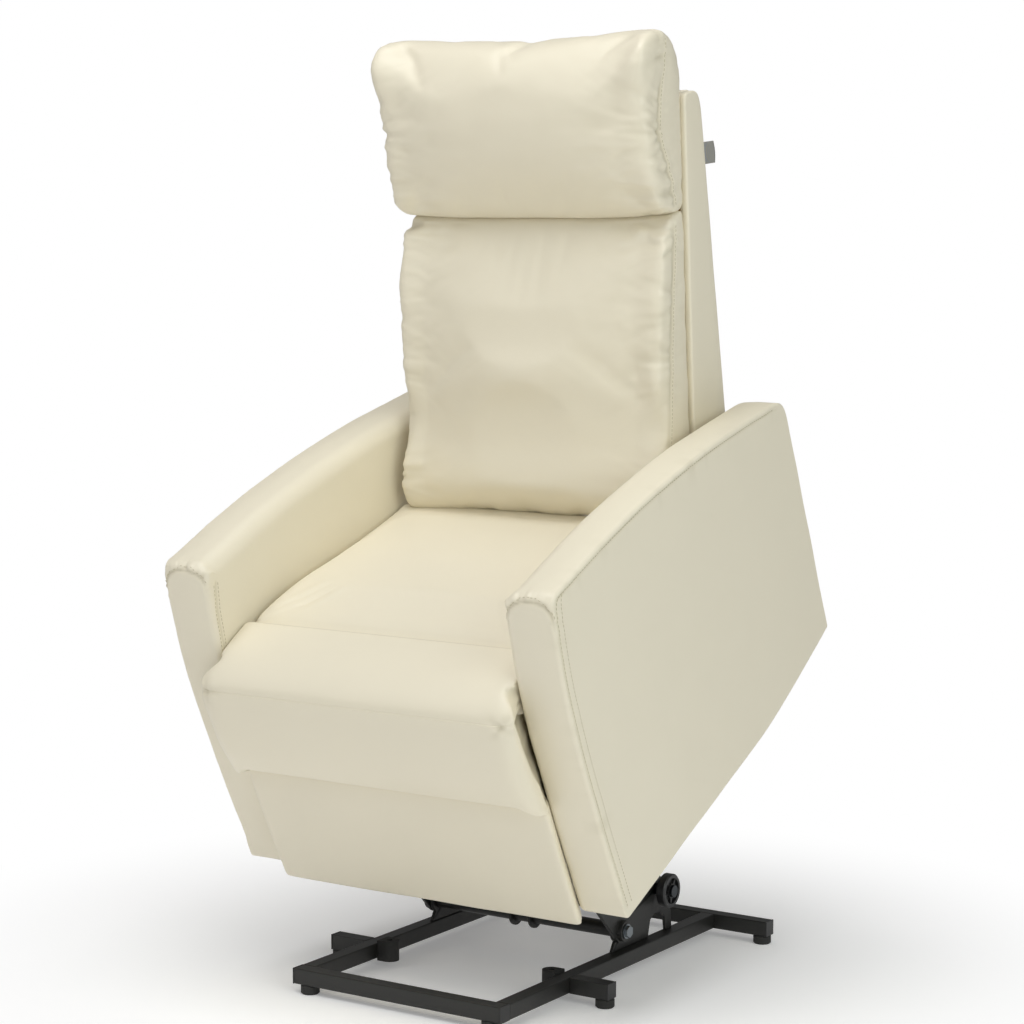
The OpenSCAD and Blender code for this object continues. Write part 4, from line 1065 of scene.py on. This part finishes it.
    def pillow(self, looks, mats):
        piece = self.blank("head_pillow_cover", PILLOW, (25, 625), 18, 2.5, looks, mats)
        local, seam = to_back(points_of(piece)), self.pillow_seam
        _, q, p = local.T
        held = (q > back_line(p) - 12) & (p < 690) | self.beside(local, seam) | (p < 498) & (q > 20)
        self.soften(looks, piece, held, seam, above=True)
        self.gathered(looks, piece, seam, 1.4, 22, self.pillow_bunches, self.pillow_dents, 21)
        wavy(piece, 1.4, 120, 7)
        seams = self.stitched("head_pillow_thread", looks, piece, seam, mats)
        for part in (piece, seams):
            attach(part, "back")
        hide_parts("head_pillow")


class RECLINER_OT_seat(Builder):
    """Builds the seat cushion."""

    bl_idname = "recliner.seat"
    bl_label = "Seat"

    def build(self, looks, mats):
        piece = soft_loft("seat_cushion_cover", SEAT, (-47, 389), 268.6, 16, 6, from_chair, mats, crown=5,
                          shrink=1.5, crown_power=3.0)
        remeshed(piece, looks.voxel / MM)
        relaxed(piece, 4)
        x, y, z = to_chair(points_of(piece)).T
        # The cushion is held by its underside, which slopes down to the rear, and at its front and rear
        (front_y, front_z, _), (rear_y, rear_z, _) = SEAT[:2]
        underside = front_z + (y - front_y) * (rear_z - front_z) / (rear_y - front_y)
        held = (z < underside + 14) | (y > 150) | (y < -258)
        inflated(piece, held.astype(float), looks.pressure * 0.5, 6, 0.0)
        subdivided(piece)
        wavy(piece, 1.3, 130, 9)
        x, y, z = to_chair(points_of(piece)).T
        # Painted shade along the seat's front edge, in the crease where it meets the roll
        mark(piece, 0.9 * soft_step(-y, 257, 264) * soft_step(z, 425, 436))
        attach(piece, "chair")
        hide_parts("seat_cushion")


class RECLINER_OT_front(Builder):
    """Builds the front roll on the seat and the legrest's pad under it, which meet along the crest."""

    bl_idname = "recliner.front"
    bl_label = "Front roll and pad"

    # The arms' front, the pinches' places from the middle and up, and the way out of the crest
    arm_front = -352
    pinch = (252, 404)
    crest_out = np.array([0.0, -0.86, 0.5])
    unevenness, pinch_depth, fold_depth, swelling, hang = 1.6, 4.0, 1.4, 18, 20

    def build(self, looks, mats):
        roll = soft_loft("front_roll_cover", ROLL, (-306, 407), 268.0, 28, 24, from_chair, mats,
                         spacing=4.0, drawn=self.drawn)
        pad = soft_loft("legrest_pad_cover", PAD, (-377, 315), 267.0, 28, 24, from_chair, mats,
                        spacing=4.0, drawn=self.drawn)
        for piece, body, node in ((roll, "chair", "front_roll"), (pad, "legrest", "legrest_pad")):
            self.creased(piece, piece is pad)
            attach(piece, body)
            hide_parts(node)

    def drawn(self, line, d):
        """The ends round off to the rear in the same way on both pieces, so that the whole crest meets."""
        y, z = line.T
        back = d * (1 - 0.38 * soft_step(z, 340, 400)) * soft_step(-y, 335, 390)
        y = np.where(y < self.arm_front, np.minimum(y + back, self.arm_front), y)
        z = z - 0.2 * d * soft_step(z, 412, 440)
        return np.stack([y, z], 1)

    def creased(self, piece, low):
        """Unevenness, pinched corners and the side folds. Each point's move depends on its place alone, so
        that the two pieces still meet afterwards. low is true for the pad."""
        co = to_chair(points_of(piece))
        x, y, z = co.T
        wide = np.abs(x)
        shade_paint = np.zeros(len(co))
        slow = np.array([noise.noise(Vector(p) / 105) for p in co])
        moved = co + np.outer(slow * self.unevenness * soft_step(-y, 340, 380), self.crest_out)
        for sign in (1, -1):
            off = np.stack([sign * x - self.pinch[0], z - self.pinch[1]], 1)
            far = np.linalg.norm(off, axis=1)
            turn = np.arctan2(off[:, 1], off[:, 0])
            near = np.where(y < -348, 1.0, 0.0)
            pit = np.exp(-(far / 4.5) ** 2) * near
            fold = np.sin(4 * turn + sign) * np.exp(-((far - 11) / 9) ** 2) * near
            moved = moved + np.outer(self.fold_depth * fold - self.pinch_depth * pit, self.crest_out)
            # Painted shade in the pinches and in their folds' hollows
            shade_paint = np.maximum(shade_paint, np.maximum(0.8 * pit, 0.25 * np.maximum(0, -fold)))
        # In front of the arms the ends swell past them, and fold back in behind the swell
        height = soft_step(z, 246, 360)
        swell = soft_step(-y, 350 + 2 * height, 366 + 22 * height)
        moved[:, 0] += np.sign(x) * self.swelling * swell * soft_step(wide, 190, 262)
        tuck = soft_step(wide, 258, 265) * soft_step(-y, 340, 350) * (1 - swell)
        fold = np.array([noise.noise(Vector((0.5, a / 20, b / 40))) for a, b in zip(z, y)])
        moved[:, 0] -= np.sign(x) * tuck * (4.0 + 4.0 * fold)
        # Painted shade on the tucked-in side, in the gap beside the arm
        shade_paint = np.maximum(shade_paint, tuck * (0.5 if low else 0.25) * np.clip(1 + 1.3 * fold, 0, 1.6))
        if low:
            # The strip that goes round the board, and the hem's corners, which hang
            inward = soft_step(wide, 248, 257) * soft_step(y, -358, -350)
            moved[:, 1] += inward * (BOARD_STRIP - moved[:, 1])
            corner = self.hang * soft_step(wide, 235, 264) * soft_step(-z, -285, -246)
            moved[:, 2] -= corner * soft_step(-y, 340, 352)
            # Painted shade along the pad's lower edge, where it overhangs the panel
            shade_paint = np.maximum(shade_paint, 0.95 * soft_step(-z, -252, -247.5))
        else:
            # Painted shade along the roll's rear edge, in the crease where it meets the seat
            shade_paint = np.maximum(shade_paint, 0.9 * soft_step(y, -274, -268) * soft_step(z, 430, 440))
        set_points(piece, from_chair(moved))
        mark(piece, shade_paint)


class RECLINER_OT_panel(Builder):
    """Builds the legrest's lower panel."""

    bl_idname = "recliner.panel"
    bl_label = "Legrest panel"

    overhang = 11

    def build(self, looks, mats):
        piece = soft_loft("legrest_panel_cover", PANEL, (-354, 134), 267.4, 8, 4, from_chair, mats,
                          spacing=6.0)
        # The leather folds round the board's sides, and its front stands a little past the board
        x, y, z = to_chair(points_of(piece)).T
        lip = soft_step(np.abs(x), 200, 262) * soft_step(-y, 351, 356)
        y = y + soft_step(np.abs(x), 248, 256) * soft_step(y, -356, -350) * (BOARD_STRIP - y)
        set_points(piece, from_chair(np.stack([x + np.sign(x) * self.overhang * lip, y, z], 1)))
        remeshed(piece, 4.0)
        relaxed(piece, 2)
        wavy(piece, 0.8, 100, 12)
        # Painted shade on the panel's top strip, under the pad's overhang
        mark(piece, 0.8 * soft_step(to_chair(points_of(piece))[:, 2], 233, 245))
        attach(piece, "legrest")
        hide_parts("legrest_panel")


class RECLINER_OT_back_shell(Builder):
    """Builds the covered sides and rear of the back frame."""

    bl_idname = "recliner.back_shell"
    bl_label = "Back shell"

    # The sides' inner face from the chair's middle, their rounded edge, and the rings before and after it,
    # each outward and drawn in
    inner, round_start, edge = 241.0, 10.5, 4.0
    inner_rings = [(0.0, 1.0), (1.0, 0.0)]
    outer_rings = [(14.8, 6.0), (15.0, 10.0), (15.2, 15.0)]

    def build(self, looks, mats):
        outline = resampled(eased(BACK_SIDE, 8), 5.0)
        out, around = outward(outline), len(outline)
        rounded = [(self.round_start + self.edge * math.sin(a), self.edge * (1 - math.cos(a)))
                   for a in np.linspace(0, math.pi / 2, 7)]
        for side, sign in (("right", 1), ("left", -1)):
            rings = [np.column_stack([np.full(around, self.inner + x), outline - out * d])
                     for x, d in self.inner_rings + rounded + self.outer_rings]
            points, faces = capped(rings, tube_faces(len(rings), around).tolist(), 12.0)
            points[:, 0] *= sign
            piece = mesh_piece("back_side_cover_" + side, from_back(points), faces, mats["leather"])
            wavy(piece, 0.6, 90, 14 + sign)
            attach(piece, "back")
            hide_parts("back_side_panels")
        self.tag(mats)
        rear = soft_loft("back_rear_cover", BACK_REAR, (131, 320), 240.6, 3, 1.5, from_back, mats,
                         spacing=5.0)
        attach(rear, "back")
        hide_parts("back_rear_panel")

    def tag(self, mats):
        """A plain grey tape, folded double and sewn into the seam at the rear edge."""
        long, tall, thick, thin_share = 30.0, 35.0, 1.2, 0.6
        from_middle, from_front, foot = 254.2, 136, 546
        bowing, curl, droop = 1.6, 1.5, 2.5
        wide, rows = 9, 7
        points = []
        for side in (0, 1):
            for up in np.linspace(0, 1, rows):
                bow = bowing * math.sin(math.pi * up)
                points += [(from_middle + side * thick * (1 - thin_share * t) + bow * t + curl * t * t,
                            from_front + long * t, foot + tall * up - droop * t)
                           for t in np.linspace(0, 1, wide)]
        faces = []
        for r in range(rows - 1):
            for k in range(wide - 1):
                a = r * wide + k
                quad = (a, a + 1, a + wide + 1, a + wide)
                faces += [quad, tuple(v + rows * wide for v in quad[::-1])]
        rim = ([k for k in range(wide)] + [r * wide + wide - 1 for r in range(1, rows)]
               + [(rows - 1) * wide + k for k in range(wide - 2, -1, -1)]
               + [r * wide for r in range(rows - 2, 0, -1)])
        faces += [(a, b, b + rows * wide, a + rows * wide) for a, b in zip(rim, rim[1:] + rim[:1])]
        piece = mesh_piece("plain_tag", from_back(points), faces, mats["tag"])
        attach(piece, "back")


class RECLINER_OT_stage(Builder):
    """Sets the pale floor, the white surroundings, the lamps and the camera."""

    bl_idname = "recliner.stage"
    bl_label = "Stage"

    # Square lamps: name, place, size in metres, power in watts and colour. They point at the chair's middle
    lamps = (("key", (-1.6, -3.0, 2.7), 2.2, 17, (1.0, 0.99, 0.97)),
             ("fill", (3.0, -1.3, 1.9), 2.2, 35, (0.94, 1.0, 0.97)),
             ("top", (0.1, -1.3, 4.8), 3.4, 121, (1.0, 1.0, 1.0)))
    aim = (0, 0, 0.7)
    # The world lights the chair less than the white that the camera sees
    world_light, world_seen = 0.212, 1.0
    floor_reach, floor_glow, floor_drift = 12, 0.2, 500
    # From where to where the floor runs out into white, in metres from the middle
    floor_fade = (0.4, 1.15)
    camera_place, camera_turn, camera_lens = (2.26873, -3.471217, 1.17081), (33.0923, 5.9028, 0.189), 91.66

    def build(self, looks, mats):
        scene = bpy.context.scene
        scene.view_settings.view_transform = "Standard"
        self.floor()
        self.world(scene)
        for lamp in self.lamps:
            self.lamp(*lamp)
        self.camera(scene)

    def floor(self):
        far = self.floor_reach
        points = [(-far, -far, 0), (far, -far, 0), (far, far, 0), (-far, far, 0)]
        s = Shader("pale_floor", Roughness=0.9)
        cloud = s.texture("Noise", self.floor_drift).outputs["Fac"]
        s.to_base("Base Color", s.mixed(s.ramp(cloud, 0, 0.3), (0.9, 0.9, 0.9, 1), (0.88, 0.88, 0.88, 1)))
        s.base.inputs["Emission Color"].default_value = (1, 1, 1, 1)
        s.base.inputs["Emission Strength"].default_value = self.floor_glow
        # Away from the chair the floor runs out into the white surroundings
        where = s.add("TexCoord").outputs["Object"]
        away = s.add("VectorMath", {0: where}, operation="LENGTH").outputs["Value"]
        start, end = self.floor_fade
        share = s.add("MapRange", {"Value": away, "From Min": start, "From Max": end},
                      interpolation_type="SMOOTHSTEP").outputs["Result"]
        white = s.add("Emission", {"Color": (1, 1, 1, 1), "Strength": 1.0}).outputs["Emission"]
        seen = s.add("LightPath").outputs["Is Camera Ray"]
        share = s.add("Math", {0: share, 1: seen}, operation="MULTIPLY").outputs["Value"]
        blend = s.add("MixShader", {0: share, 1: s.base.outputs["BSDF"], 2: white}).outputs["Shader"]
        s.tree.links.new(blend, s.tree.nodes["Material Output"].inputs["Surface"])
        floor = mesh_piece("floor", points, [(0, 1, 2, 3)], s.material, smooth=False)

    def world(self, scene):
        world = bpy.data.worlds.new("white_studio")
        scene.world = world
        world.use_nodes = True
        tree = world.node_tree
        tree.nodes.clear()
        path = tree.nodes.new("ShaderNodeLightPath")
        seen = tree.nodes.new("ShaderNodeMath")
        seen.operation = "MAXIMUM"
        tree.links.new(path.outputs["Is Camera Ray"], seen.inputs[0])
        tree.links.new(path.outputs["Is Transmission Ray"], seen.inputs[1])
        dim, bright = tree.nodes.new("ShaderNodeBackground"), tree.nodes.new("ShaderNodeBackground")
        dim.inputs["Strength"].default_value = self.world_light
        bright.inputs["Strength"].default_value = self.world_seen
        for shade in (dim, bright):
            shade.inputs["Color"].default_value = (1, 1, 1, 1)
        mix = tree.nodes.new("ShaderNodeMixShader")
        tree.links.new(seen.outputs[0], mix.inputs[0])
        tree.links.new(dim.outputs[0], mix.inputs[1])
        tree.links.new(bright.outputs[0], mix.inputs[2])
        out = tree.nodes.new("ShaderNodeOutputWorld")
        tree.links.new(mix.outputs[0], out.inputs["Surface"])

    def lamp(self, name, place, size, power, colour):
        data = bpy.data.lights.new(name, "AREA")
        data.shape, data.size, data.energy, data.color = "SQUARE", size, power, colour
        lamp = bpy.data.objects.new(name, data)
        lamp.location = place
        lamp.rotation_euler = (Vector(self.aim) - Vector(place)).to_track_quat("-Z", "Y").to_euler()
        bpy.context.scene.collection.objects.link(lamp)

    def camera(self, scene):
        """The photograph's camera, from its azimuth, elevation and roll."""
        azimuth, elevation, roll = (math.radians(a) for a in self.camera_turn)
        back = Vector((math.sin(azimuth) * math.cos(elevation), -math.cos(azimuth) * math.cos(elevation),
                       math.sin(elevation)))
        right = Vector((math.cos(azimuth), math.sin(azimuth), 0))
        up = back.cross(right)
        turned_right = right * math.cos(roll) + up * math.sin(roll)
        turned_up = up * math.cos(roll) - right * math.sin(roll)
        data = bpy.data.cameras.new("camera")
        data.lens, data.sensor_width = self.camera_lens, 36.0
        camera = bpy.data.objects.new("camera", data)
        turn = Matrix((turned_right, turned_up, back)).transposed().to_4x4()
        camera.matrix_world = Matrix.Translation(self.camera_place) @ turn
        scene.collection.objects.link(camera)
        scene.camera = camera


class RECLINER_PT_panel(bpy.types.Panel):
    """Sidebar panel with the looks' settings and steps."""

    bl_idname = "RECLINER_PT_panel"
    bl_label = "Recliner looks"
    bl_space_type = "VIEW_3D"
    bl_region_type = "UI"
    bl_category = "Recliner"

    def draw(self, context):
        looks = context.scene.recliner_looks
        for name in looks.__annotations__:
            self.layout.prop(looks, name)
        for step in STEPS:
            self.layout.operator(step.bl_idname)


STEPS = (RECLINER_OT_finishes, RECLINER_OT_arms, RECLINER_OT_back_cushions, RECLINER_OT_seat,
         RECLINER_OT_front, RECLINER_OT_panel, RECLINER_OT_back_shell, RECLINER_OT_stage)


def register():
    for cls in (RECLINER_PG_looks, *STEPS, RECLINER_PT_panel):
        bpy.utils.register_class(cls)
    bpy.types.Scene.recliner_looks = bpy.props.PointerProperty(type=RECLINER_PG_looks)


def unregister():
    del bpy.types.Scene.recliner_looks
    for cls in reversed((RECLINER_PG_looks, *STEPS, RECLINER_PT_panel)):
        bpy.utils.unregister_class(cls)


def main():
    """Builds everything in order."""
    register()
    for step in STEPS:
        area, name = step.bl_idname.split(".")
        if getattr(getattr(bpy.ops, area), name)() != {"FINISHED"}:
            raise RuntimeError(f"{step.bl_label} didn't finish")


if __name__ == "__main__":
    main()
